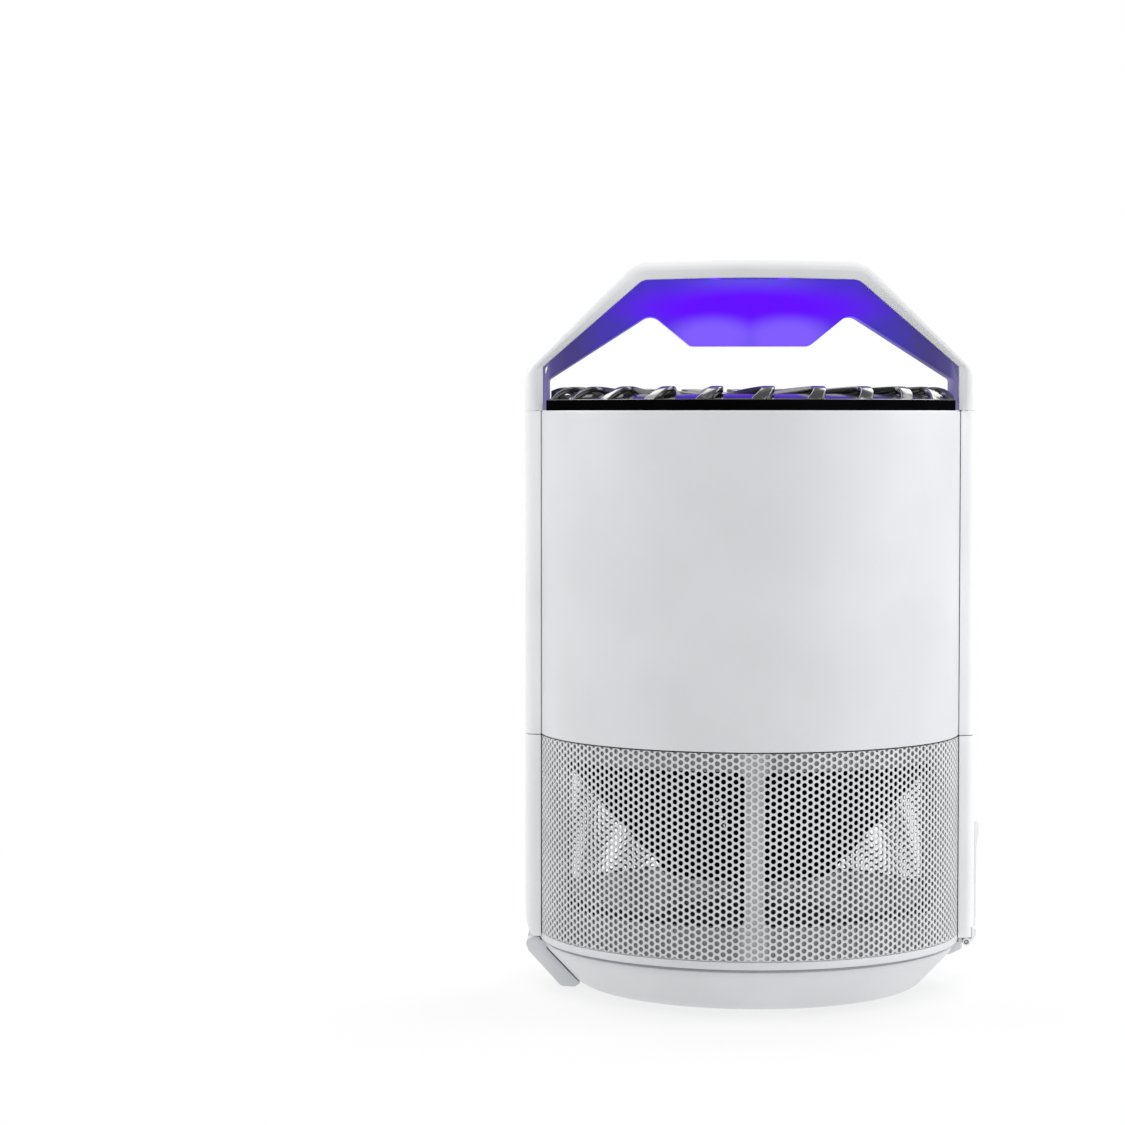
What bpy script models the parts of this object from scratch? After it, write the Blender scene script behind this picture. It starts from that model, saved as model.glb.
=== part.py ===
"""A table-top indoor insect trap: ultraviolet lamps in the handle, a suction fan in the housing and a
catch tray in a hinged base. Metres, +Z up, front at -Y, origin on the ground on the body's axis."""

import math

import bmesh
import bpy
from mathutils import Matrix, Vector

# Heights above the ground
SEAM_BASE = 0.0186
STRIP_FOOT = 0.0203
SCREEN_FOOT = 0.0221
SEAM_CAGE = 0.0970
RIM = 0.2194

# Body in plan
BODY_R = 0.0800
SHELL_WALL = 0.0024
BOWL_R = 0.0785
STRIP_X = 0.0850
STRIP_HALF = 0.0155
EDGE_FLAT = 0.0120
EDGE_MID = (0.0010, 0.0140)
EDGE_FULL = 0.0030

# Gaps between pieces, and the joins that modifiers make
GAP = 0.0003
MERGE = 0.00001
ROUND = 48
ROUND_INNER = 36
ROUND_SMALL = 16

# Base hinge on the left, latch on the right
HINGE = (-0.0823, 0.0172)
HINGE_R = 0.0022
HINGE_PIN_R = 0.0009
TONGUE_HALF = 0.0065
LUG_HALF = 0.0135
LATCH = (0.0822, 0.0184)
LATCH_R = 0.0015
LATCH_PIN_R = 0.0006
LATCH_TOP = 0.0640
LATCH_LIP_X = 0.0868
LEVER_HALF = 0.0100
LEVER_RECESS = 0.0012
LEVER_FOOT_TOP = 0.0240
LUG_ROOT_X = -0.0766
EAR_HALF = 0.0040

# Rubber feet
FOOT_R = 0.0060
FOOT_RING = 0.0480
FOOT_T = 0.0014
BOWL_FLOOR = 0.0007

# Catch tray and glue board
TRAY_R = 0.0720
TRAY_TOP = 0.0360
BOARD_R = 0.0690
BOARD_T = 0.0008

# Cage windows behind the screen
CAGE_R = 0.0792
CAGE_WALL = 0.0024
SCREEN_T = 0.0006
WINDOW_LOW = 0.0340
WINDOW_HIGH = 0.0900
RIB_HALF_DEG = 2.6
WINDOW_END_DEG = 63.0
SCREEN_END_DEG = 78.4

# Slotted funnel
FUNNEL_TOP = (0.0726, 0.0877)
FUNNEL_FOOT = (0.0336, 0.0456)
FUNNEL_SLOTS = 30

# Fan, its duct and its motor
DUCT_R = 0.0462
DUCT_TOP = 0.1800
DUCT_WALL = 0.0018
DECK_TOP = 0.0990
SPIDER_Z = 0.1200
CUP_HALF = 0.0021
MOTOR_R = 0.0130
MOTOR_TOP = 0.1380
SHAFT_R = 0.0015
BORE_R = 0.0050
HUB_R = 0.0150
HUB_TOP = 0.1590
HUB_FOOT = 0.1410
BLADES = 7
BLADE_TIP = 0.0443

# Inlet grille
GRILLE_R = 0.0782
GRILLE_WALL = 0.0022
GRILLE_RING_TOP = RIM + 0.0040
GRILLE_FOOT = RIM - 0.0025
COLLAR_R = 0.0700
COLLAR_TOP = RIM + 0.0060
VANES = 24
VANE_FOOT = (0.0768, RIM + 0.0023)
VANE_CREST = (0.0700, RIM + 0.0078)
VANE_END = (0.0170, RIM + 0.0022)
VANE_CLIMB = 0.35
VANE_LEAN_DEG = 3.8
VANE_SWEEP_DEG = 50.0
VANE_WIDE = (0.0048, 0.0028)
VANE_TALL = (0.0020, 0.0054)
VANE_DEEPENS = 0.3
NOTCH_X = 0.0752
NOTCH_HALF = 0.0150
HUB_GRILLE_R = 0.0180
HUB_GRILLE_Z = RIM + 0.0020

# Handle: heights above the rim
HANDLE_BAND = 0.0078
HANDLE_LEG = 0.0150
HANDLE_SHOULDER = (0.0440, 0.0566)
HANDLE_CROWN = 0.0576
HANDLE_WALL = 0.0024
LEG_BEND = 0.0095
SHOULDER_BEND = 0.0150
INNER_LEG = (0.0780, 0.0164)
INNER_SHOULDER = (0.0405, 0.0490)
INNER_LEG_BEND = 0.0010
INNER_SHOULDER_BEND = 0.0060
CROWN_BEND = 0.9000
FLOOR_T = 0.0030
DIFFUSER_KNEE = (0.0762, 0.0118)
DIFFUSER_ARCH = (0.0374, 0.0366)
DIFFUSER_KEEL = (0.0225, 0.0244)
LINER_T = 0.0014
LINER_HALF = 0.0122
KEEL_HALF = 0.0085
LAMP_BOARD_Z = 0.0512
HANDLE_SCREW_X = 0.0811
HANDLE_SCREW_Y = 0.0100
HANDLE_SCREW_R = 0.0008

# Leads
LEAD_R = 0.0008
LEAD_X = 0.0815
LEAD_Y = -0.0080
LEAD_Z = 0.2050
MOTOR_LEAD_Z = 0.1260

# Buttons and power socket on the back
BUTTON_R = 0.0050
BUTTON_X = 0.0110
BUTTON_Z = 0.1760
JACK_Z = 0.1120
CONTROL_Y = 0.0669

PARTS = None
CUTTERS = None


# ---------------------------------------------------------------- scene and materials

def start_scene():
    """Empties the file and makes the two collections."""
    global PARTS, CUTTERS
    for old in list(bpy.data.objects):
        bpy.data.objects.remove(old)
    PARTS = bpy.data.collections.new("insect_trap")
    CUTTERS = bpy.data.collections.new("cutters")
    for made in (PARTS, CUTTERS):
        bpy.context.scene.collection.children.link(made)


def material(name, colour, roughness=0.5, metallic=0.0, glow=0.0):
    """A Principled material; glow lights it in its own colour."""
    made = bpy.data.materials.new(name)
    made.use_nodes = True
    shader = made.node_tree.nodes["Principled BSDF"]
    shader.inputs["Base Color"].default_value = (*colour, 1.0)
    shader.inputs["Roughness"].default_value = roughness
    shader.inputs["Metallic"].default_value = metallic
    shader.inputs["Emission Color"].default_value = (*colour, 1.0)
    shader.inputs["Emission Strength"].default_value = glow
    made.diffuse_color = (*colour, 1.0)
    return made


def make_materials():
    """Every material of the object, by a plain word."""
    return {
        "white": material("white_plastic", (0.80, 0.82, 0.84), 0.35),
        "strip": material("strip_plastic", (0.84, 0.86, 0.89), 0.35),
        "black": material("black_plastic", (0.015, 0.015, 0.018), 0.35),
        "grey": material("grey_plastic", (0.45, 0.45, 0.47), 0.5),
        "dark": material("tray_plastic", (0.06, 0.06, 0.07), 0.5),
        "glue": material("glue_card", (0.08, 0.08, 0.09), 0.25),
        "screen": material("painted_sheet", (0.75, 0.76, 0.78), 0.4, 0.2),
        "milky": material("milky_diffuser", (0.30, 0.20, 0.95), 0.4, 0.0, 1.0),
        "lamp": material("uv_lamp", (0.35, 0.05, 1.0), 0.3, 0.0, 4.0),
        "steel": material("steel", (0.60, 0.60, 0.62), 0.3, 1.0),
        "bronze": material("bronze", (0.55, 0.38, 0.20), 0.4, 1.0),
        "rubber": material("rubber", (0.10, 0.10, 0.10), 0.8),
        "board": material("circuit_board", (0.02, 0.20, 0.08), 0.5),
        "cable": material("cable", (0.70, 0.70, 0.72), 0.6),
    }


# ---------------------------------------------------------------- shape helpers

def add(name, mesh, mat, place=(0.0, 0.0, 0.0), turn=(0.0, 0.0, 0.0)):
    """Links a part made from a mesh, smooth where its faces nearly line up."""
    mesh.materials.clear()
    mesh.materials.append(mat)
    mesh.shade_smooth()
    mesh.set_sharp_from_angle(angle=math.radians(35))
    made = bpy.data.objects.new(name, mesh)
    made.location = place
    made.rotation_euler = turn
    PARTS.objects.link(made)
    return made


def as_cutter(made):
    """Moves an object to the cutters' collection, shown as a wire."""
    PARTS.objects.unlink(made)
    CUTTERS.objects.link(made)
    made.hide_render = True
    made.display_type = "WIRE"
    return made


def boolean(target, tool, operation="DIFFERENCE"):
    """Cuts target with tool, or joins tool to it."""
    step = target.modifiers.new(operation.lower(), "BOOLEAN")
    step.operation = operation
    step.solver = "EXACT"
    step.object = as_cutter(tool) if tool.name in PARTS.objects else tool


def turned(name, section, mat, steps=ROUND, closed=True, **where):
    """A solid turned about Z. Its section runs down the outer side, and back up the inner side if closed."""
    mesh = bpy.data.meshes.new(name)
    count = len(section)
    edges = [(i, (i + 1) % count) for i in range(count if closed else count - 1)]
    mesh.from_pydata([(r, 0.0, z) for r, z in section], edges, [])
    made = add(name, mesh, mat, **where)
    screw = made.modifiers.new("turn", "SCREW")
    screw.angle = math.tau
    screw.steps = steps
    screw.render_steps = steps
    screw.use_merge_vertices = True
    screw.merge_threshold = MERGE
    return made


def box(name, low, high, mat, **where):
    """A box between two corners."""
    bm = bmesh.new()
    bmesh.ops.create_cube(bm, size=1.0)
    low, high = Vector(low), Vector(high)
    bmesh.ops.scale(bm, vec=high - low, verts=bm.verts)
    bmesh.ops.translate(bm, vec=(low + high) / 2, verts=bm.verts)
    mesh = bpy.data.meshes.new(name)
    bm.to_mesh(mesh)
    bm.free()
    return add(name, mesh, mat, **where)


def rod(name, radius, start, end, mat, sides=ROUND_SMALL):
    """A straight round bar between two points."""
    start, end = Vector(start), Vector(end)
    bm = bmesh.new()
    bmesh.ops.create_cone(bm, cap_ends=True, segments=sides, radius1=radius, radius2=radius,
                          depth=(end - start).length)
    mesh = bpy.data.meshes.new(name)
    bm.to_mesh(mesh)
    bm.free()
    facing = (end - start).to_track_quat("Z", "Y").to_euler()
    return add(name, mesh, mat, place=(start + end) / 2, turn=facing)


def rounded(corners, steps=3):
    """The points of an outline whose corners are (x, z, radius)."""
    points = []
    for i, (x, z, radius) in enumerate(corners):
        here = Vector((x, z))
        if radius == 0.0:
            points.append(here)
            continue
        before = (Vector(corners[i - 1][:2]) - here).normalized()
        after = (Vector(corners[(i + 1) % len(corners)][:2]) - here).normalized()
        half = before.angle(after) / 2
        centre = here + (before + after).normalized() * radius / math.sin(half)
        first = here + before * radius / math.tan(half) - centre
        last = here + after * radius / math.tan(half) - centre
        points += [centre + first.slerp(last, k / steps).normalized() * radius for k in range(steps + 1)]
    return points


def plate(name, outline, low, high, mat, upright=True):
    """A flat outline made solid: upright in XZ from y = low to high, or lying in XY from z = low to high."""
    curve = bpy.data.curves.new(name, "CURVE")
    curve.dimensions = "2D"
    curve.fill_mode = "BOTH"
    curve.extrude = (high - low) / 2
    spline = curve.splines.new("POLY")
    spline.points.add(len(outline) - 1)
    for point, (u, v) in zip(spline.points, outline):
        point.co = (u, v, 0.0, 1.0)
    spline.use_cyclic_u = True
    drawn = bpy.data.objects.new(name + "_outline", curve)
    bpy.context.scene.collection.objects.link(drawn)
    middle = (low + high) / 2
    if upright:
        drawn.matrix_world = Matrix.Translation((0.0, middle, 0.0)) @ Matrix.Rotation(math.pi / 2, 4, "X")
    else:
        drawn.matrix_world = Matrix.Translation((0.0, 0.0, middle))
    bpy.context.view_layer.update()
    shown = drawn.evaluated_get(bpy.context.evaluated_depsgraph_get())
    mesh = bpy.data.meshes.new_from_object(shown)
    bm = bmesh.new()
    bm.from_mesh(mesh)
    bmesh.ops.remove_doubles(bm, verts=bm.verts, dist=MERGE)
    bmesh.ops.recalc_face_normals(bm, faces=bm.faces)
    bm.to_mesh(mesh)
    bm.free()
    made = add(name, mesh, mat)
    made.matrix_world = drawn.matrix_world.copy()
    bpy.data.objects.remove(drawn)
    return made


def lofts(name, runs, mat):
    """Solids through matching closed loops of points, one for each run of loops."""
    bm = bmesh.new()
    for loops in runs:
        rings = [[bm.verts.new(point) for point in loop] for loop in loops]
        count = len(rings[0])
        for near, far in zip(rings, rings[1:]):
            for i in range(count):
                j = (i + 1) % count
                bm.faces.new((near[i], near[j], far[j], far[i]))
        bm.faces.new(rings[0])
        bm.faces.new(rings[-1])
    bmesh.ops.recalc_face_normals(bm, faces=bm.faces)
    mesh = bpy.data.meshes.new(name)
    bm.to_mesh(mesh)
    bm.free()
    return add(name, mesh, mat)


def lofted(name, loops, mat):
    """One solid through matching closed loops of points."""
    return lofts(name, [loops], mat)


def ribbons(name, shape, count, along, across, thickness, mat):
    """Thin curved plates: shape(u, v, k) places plate number k's points for u, v from 0 to 1."""
    bm = bmesh.new()
    for k in range(count):
        made = bmesh.ops.create_grid(bm, x_segments=along, y_segments=across, size=0.5)["verts"]
        for vert in made:
            vert.co = shape(vert.co.x + 0.5, vert.co.y + 0.5, k)
    mesh = bpy.data.meshes.new(name)
    bm.to_mesh(mesh)
    bm.free()
    sheet = add(name, mesh, mat)
    solid = sheet.modifiers.new("solid", "SOLIDIFY")
    solid.thickness = thickness
    solid.offset = 0.0
    return sheet


def tube(name, radius, points, mat):
    """A thin cable through points."""
    curve = bpy.data.curves.new(name, "CURVE")
    curve.dimensions = "3D"
    curve.bevel_depth = radius
    curve.bevel_resolution = 1
    curve.use_fill_caps = True
    spline = curve.splines.new("POLY")
    spline.points.add(len(points) - 1)
    for point, place in zip(spline.points, points):
        point.co = (*place, 1.0)
    curve.materials.append(mat)
    made = bpy.data.objects.new(name, curve)
    PARTS.objects.link(made)
    return made


def on_circle(radius, degrees, z=0.0):
    """A point at an angle from +X about the body's axis."""
    angle = math.radians(degrees)
    return Vector((radius * math.cos(angle), radius * math.sin(angle), z))


# ---------------------------------------------------------------- base

def bowl_section():
    """The bowl's wall: in along its floor, up inside, over the rim and down outside."""
    low = BOWL_FLOOR
    top = BOWL_FLOOR + 0.0020
    outer = [(BOWL_R, SEAM_BASE, 0.0), (0.0776, 0.0156, 0.004), (0.0648, 0.0020, 0.009), (0.0570, low, 0.0)]
    inner = [(0.0560, top, 0.0), (0.0622, top + 0.0012, 0.007), (0.0752, 0.0166, 0.003),
             (0.0762, SEAM_BASE, 0.0)]
    return [(0.0, top), *rounded(inner, 2), *rounded(outer), (0.0, low)]


def ring_cutter(name, mats):
    """A cylinder just wider than the cage's foot ring, standing on the base's seam."""
    return rod(name, BODY_R + GAP, (0, 0, SEAM_BASE - GAP), (0, 0, 0.040), mats["white"], sides=ROUND)


def make_base_bowl(mats):
    """Base bowl with the hinge lug on its left and the latch's lug and ear on its right."""
    white = mats["white"]
    top = STRIP_FOOT - 0.0004
    bowl = turned("base_bowl", bowl_section(), white, closed=False)
    x, z = HINGE
    lug = rounded([(x, top - 0.0004, 0.0), (LUG_ROOT_X, top - 0.0004, 0.0), (LUG_ROOT_X, 0.0150, 0.0),
                   (-0.0640, 0.0019, 0.0), (-0.0660, 0.0004, 0.0), (-0.0712, 0.0006, 0.003),
                   (x - HINGE_R, z - 0.0020, 0.002)])
    hinge_lug = plate("hinge_lug", lug, -LUG_HALF, LUG_HALF, white)
    boolean(hinge_lug, ring_cutter("hinge_lug_room", mats))
    boolean(bowl, hinge_lug, "UNION")
    boolean(bowl, rod("hinge_knuckle", HINGE_R, (x, -LUG_HALF, z), (x, LUG_HALF, z), white), "UNION")
    room = HINGE_R + 0.0008
    half = TONGUE_HALF + GAP
    boolean(bowl, box("hinge_slot", (x - 0.0060, -half, z - room), (x + room, half, z + 0.01), white))
    boolean(bowl, rod("hinge_bore", HINGE_PIN_R + GAP, (x, -0.02, z), (x, 0.02, z), white, sides=12))
    x, z = LATCH
    face = x - LATCH_R - GAP
    lug = [(face, top), (0.0752, top), (0.0752, 0.0136), (0.0783, 0.0149), (face, 0.0160)]
    latch_lug = plate("latch_lug", lug, -LUG_HALF, LUG_HALF, white)
    boolean(latch_lug, ring_cutter("latch_lug_room", mats))
    boolean(bowl, latch_lug, "UNION")
    ear = [(0.0790, SEAM_BASE - GAP), (x, SEAM_BASE - GAP), (x, z - LATCH_R), (0.0790, 0.0160)]
    boolean(bowl, plate("latch_ear", ear, -EAR_HALF, EAR_HALF, white), "UNION")
    boolean(bowl, rod("latch_knuckle", LATCH_R, (x, -EAR_HALF, z), (x, EAR_HALF, z), white), "UNION")
    boolean(bowl, rod("latch_bore", LATCH_PIN_R + GAP, (x, -0.02, z), (x, 0.02, z), white, sides=12))
    for k in range(4):
        low = on_circle(FOOT_RING, 45 + 90 * k, BOWL_FLOOR - 0.0010)
        high = on_circle(FOOT_RING, 45 + 90 * k, FOOT_T + GAP)
        boolean(bowl, rod(f"foot_seat_{k + 1}", FOOT_R + GAP, low, high, white))


def make_feet(mats):
    """Four rubber pads set into the bowl's underside, which the object stands on."""
    pad = [(0.0, FOOT_T), (FOOT_R, FOOT_T), (FOOT_R, 0.0004), (FOOT_R - 0.0006, 0.0), (0.0, 0.0)]
    for k in range(4):
        turned(f"rubber_foot_{k + 1}", pad, mats["rubber"], steps=ROUND_SMALL, closed=False,
               place=on_circle(FOOT_RING, 45 + 90 * k))


def make_tray(mats):
    """Catch tray standing in the bowl, with a shallow seat for the glue board."""
    seat = TRAY_TOP - 0.0014
    section = [(0.0, seat), (BOARD_R + 0.0006, seat), (BOARD_R + 0.0010, TRAY_TOP), (TRAY_R - 0.0005, TRAY_TOP),
               (TRAY_R, TRAY_TOP - 0.0006), (TRAY_R, 0.0160), (TRAY_R - 0.0018, 0.0160),
               (TRAY_R - 0.0018, seat - 0.0016), (0.0, seat - 0.0016)]
    turned("catch_tray", section, mats["dark"], closed=False)
    low = seat + GAP
    board = [(0.0, low + BOARD_T), (BOARD_R, low + BOARD_T), (BOARD_R, low), (0.0, low)]
    turned("glue_board", board, mats["glue"], steps=ROUND_INNER, closed=False)


def make_latch(mats):
    """Latch lever outside the right strip, turning on a pin in the bowl's ear, and the two hinge pins."""
    strip = mats["strip"]
    x, z = LATCH
    face = STRIP_X - LEVER_RECESS + GAP
    top = z + LATCH_R
    lip = LATCH_LIP_X
    outline = rounded([(x, top, 0.0), (face, top, 0.0), (face, LATCH_TOP, 0.0008), (lip, LATCH_TOP, 0.0012),
                       (lip, LATCH_TOP - 0.0055, 0.0010), (lip - 0.0007, LATCH_TOP - 0.0085, 0.0020),
                       (lip - 0.0009, 0.0212, 0.0015), (0.0832, 0.0173, 0.0), (x, z - LATCH_R, 0.0)])
    lever = plate("latch_lever", outline, -LUG_HALF, LUG_HALF, strip)
    boolean(lever, rod("lever_knuckle", LATCH_R, (x, -LUG_HALF, z), (x, LUG_HALF, z), strip), "UNION")
    half = EAR_HALF + GAP
    room = LATCH_R + GAP
    boolean(lever, box("lever_gap", (x - 0.004, -half, z - 0.006), (x + room, half, z + 0.006), strip))
    boolean(lever, rod("lever_bore", LATCH_PIN_R + GAP, (x, -0.02, z), (x, 0.02, z), strip, sides=12))
    for side in (-1, 1):
        low, high = sorted((side * LEVER_HALF, side * 0.0200))
        boolean(lever, box("lever_side", (0.0800, low, LEVER_FOOT_TOP), (0.0900, high, 0.0700), strip))
    for name, (x, z), radius in (("latch_pin", LATCH, LATCH_PIN_R), ("hinge_pin", HINGE, HINGE_PIN_R)):
        rod(name, radius, (x, 0.0005 - LUG_HALF, z), (x, LUG_HALF - 0.0005, z), mats["steel"], sides=12)


# ---------------------------------------------------------------- cage and funnel

def window_cutter(name, middle_deg, half_deg, mats):
    """A curved block that cuts one window with softened corners through the cage's wall."""
    tall = WINDOW_HIGH - WINDOW_LOW
    soft = 0.0040
    loops = []
    steps = 8
    for k in range(steps + 1):
        share = -1 + 2 * k / steps
        inset = soft if k in (0, steps) else 0.0
        angle = middle_deg + share * half_deg
        low, high = WINDOW_LOW + inset, WINDOW_LOW + tall - inset
        loops.append([on_circle(0.070, angle, low), on_circle(0.085, angle, low),
                      on_circle(0.085, angle, high), on_circle(0.070, angle, high)])
    return lofted(name, loops, mats["white"])


def screw_places():
    """Where the four screws stand that hold the fan deck on the cage."""
    return [on_circle(0.0730, 45 + 90 * k) for k in range(4)]


def make_cage(mats):
    """Cage: a tube with four windows, a ring at its foot and a shelf at its top."""
    inner = CAGE_R - CAGE_WALL
    top = SEAM_CAGE - GAP
    section = [(CAGE_R, top), (CAGE_R, SCREEN_FOOT - GAP), (BODY_R - 0.0004, SCREEN_FOOT - GAP),
               (BODY_R, SCREEN_FOOT - 0.0007), (BODY_R, SEAM_BASE + 0.0008), (BODY_R - 0.0006, SEAM_BASE + GAP),
               (inner, SEAM_BASE + GAP), (inner, 0.0915), (0.0700, 0.0935), (0.0700, top)]
    cage = turned("cage_frame", section, mats["white"])
    half = (WINDOW_END_DEG - RIB_HALF_DEG) / 2
    middle = (WINDOW_END_DEG + RIB_HALF_DEG) / 2
    for k, angle in enumerate((-90 - middle, -90 + middle, 90 - middle, 90 + middle)):
        boolean(cage, window_cutter(f"window_{k + 1}", angle, half, mats))
    for k, place in enumerate(screw_places()):
        tool = rod(f"cage_hole_{k + 1}", 0.0016, place + Vector((0, 0, 0.0925)), place + Vector((0, 0, 0.105)),
                   mats["white"], sides=12)
        boolean(cage, tool)
    return cage


def make_screens(mats):
    """Front and rear screen sheets, wrapped on the cage between the side strips."""
    outer, inner = BODY_R, BODY_R - SCREEN_T
    low, high = SCREEN_FOOT, SEAM_CAGE - GAP
    steps = 40
    for name, middle in (("screen_front", -90), ("screen_rear", 90)):
        loops = []
        for k in range(steps + 1):
            angle = middle + SCREEN_END_DEG * (2 * k / steps - 1)
            loops.append([on_circle(outer, angle, high), on_circle(outer, angle, low),
                          on_circle(inner, angle, low), on_circle(inner, angle, high)])
        lofted(name, loops, mats["screen"])


def make_funnel(mats):
    """Slotted funnel that drops insects on the glue board and lets the air out sideways."""
    (top_r, top_z), (foot_r, foot_z) = FUNNEL_TOP, FUNNEL_FOOT
    wall = 0.0016
    section = [(0.0764, top_z + wall), (0.0764, top_z), (top_r, top_z), (foot_r, foot_z),
               (foot_r, foot_z - wall), (foot_r - wall, foot_z - wall), (foot_r - wall, foot_z + 0.0006),
               (top_r - wall * 1.05, top_z + wall)]
    funnel = turned("funnel", section, mats["black"], steps=FUNNEL_SLOTS)
    slope = math.atan2(top_z - foot_z, top_r - foot_r)
    middle_r, middle_z = (top_r + foot_r) / 2, (top_z + foot_z) / 2
    bm = bmesh.new()
    for k in range(FUNNEL_SLOTS):
        made = bmesh.ops.create_cube(bm, size=1.0)["verts"]
        shape = (Matrix.Rotation(math.radians(360 * (k + 0.5) / FUNNEL_SLOTS), 4, "Z")
                 @ Matrix.Translation((middle_r, 0.0, middle_z)) @ Matrix.Rotation(-slope, 4, "Y")
                 @ Matrix.Diagonal((0.0360, 0.0020, 0.0080, 1.0)))
        bmesh.ops.transform(bm, matrix=shape, verts=made)
    mesh = bpy.data.meshes.new("funnel_slots")
    bm.to_mesh(mesh)
    bm.free()
    boolean(funnel, add("funnel_slots", mesh, mats["black"]))


# ---------------------------------------------------------------- side strips

def strip_outline(side):
    """A strip's plan: flat outer face with softened corners, run inwards past the body's surface."""
    inner = 0.0770
    half = [(inner, STRIP_HALF), (STRIP_X - EDGE_FULL, STRIP_HALF), (STRIP_X - EDGE_MID[0], EDGE_MID[1]),
            (STRIP_X, EDGE_FLAT)]
    ring = [(x, -y) for x, y in half] + [(x, y) for x, y in reversed(half)]
    return [(side * x, y) for x, y in ring]


def body_cutter(name, mats, low, high):
    """A cylinder a gap larger than the body, that shapes a strip's inner face."""
    return rod(name, BODY_R + GAP, (0, 0, low), (0, 0, high), mats["white"], sides=ROUND)


def make_strips(mats):
    """Upper strips beside the housing and lower strips beside the cage, with the hinge tongue on the left."""
    for side, word in ((-1, "left"), (1, "right")):
        upper = plate(f"side_strip_{word}", strip_outline(side), SEAM_CAGE + GAP / 2, RIM - GAP / 2,
                      mats["strip"], upright=False)
        boolean(upper, body_cutter(f"side_{word}_body", mats, 0.05, 0.25))
        boolean(upper, handle_screw_tool(side, mats))
        if side > 0:
            boolean(upper, lead_tool(mats))
            boolean(upper, lead_side_tool(mats))
        lower = plate(f"cage_strip_{word}", strip_outline(side), STRIP_FOOT, SEAM_CAGE - GAP / 2, mats["strip"],
                      upright=False)
        boolean(lower, body_cutter(f"cage_{word}_body", mats, 0.01, 0.12))
        if side < 0:
            corner = [(-0.0900, 0.0310), (-0.0849, 0.0310), (-0.0846, 0.0270), (-0.0837, 0.0235),
                      (-0.0818, 0.0195), (-0.0900, 0.0195)]
            boolean(lower, plate("strip_corner", corner, -0.02, 0.02, mats["strip"]))
            add_tongue(lower, mats)
        else:
            cut_lever_room(lower, mats)


def add_tongue(strip, mats):
    """Joins the hinge tongue to the left lower strip, with its bore."""
    x, z = HINGE
    outline = rounded([(-0.0810, 0.0240, 0.0), (-0.0838, 0.0240, 0.0), (x - HINGE_R, z, HINGE_R * 0.5),
                       (x - 0.0012, z - HINGE_R, HINGE_R * 0.4), (x + 0.0012, z - HINGE_R, HINGE_R * 0.4),
                       (-0.0806, z, HINGE_R * 0.5)])
    boolean(strip, plate("hinge_tongue", outline, -TONGUE_HALF, TONGUE_HALF, mats["strip"]), "UNION")
    boolean(strip, rod("tongue_bore", HINGE_PIN_R + GAP, (x, -0.02, z), (x, 0.02, z), mats["strip"]))


def cut_lever_room(strip, mats):
    """Cuts the recess in the right lower strip that the latch lever lies in, wider at the lever's foot."""
    floor = STRIP_X - LEVER_RECESS
    for name, half, top in (("lever_room", LEVER_HALF + GAP, LATCH_TOP + GAP),
                            ("lever_foot_room", STRIP_HALF + GAP, LEVER_FOOT_TOP + GAP)):
        boolean(strip, box(name, (floor, -half, 0.0150), (0.0900, half, top), mats["strip"]))


# ---------------------------------------------------------------- housing, duct and fan

def make_housing(mats):
    """Housing shell with its openings for the buttons, the power socket and the lamp's cable."""
    inner = BODY_R - SHELL_WALL
    top, low = RIM - GAP / 2, SEAM_CAGE + GAP / 2
    rebate = GRILLE_FOOT - GAP
    section = [(BODY_R - 0.0006, top), (BODY_R, top - 0.0006), (BODY_R, low), (inner, low), (inner, rebate),
               (GRILLE_R + GAP, rebate), (GRILLE_R + GAP, top)]
    shell = turned("housing_shell", section, mats["white"])
    for side in (-1, 1):
        x = side * BUTTON_X
        hole = rod("button_hole", BUTTON_R + GAP, (x, 0.06, BUTTON_Z), (x, 0.09, BUTTON_Z), mats["white"])
        boolean(shell, hole)
    boolean(shell, rod("jack_hole", 0.0045, (0, 0.06, JACK_Z), (0, 0.09, JACK_Z), mats["white"]))
    boolean(shell, lead_side_tool(mats))


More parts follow.
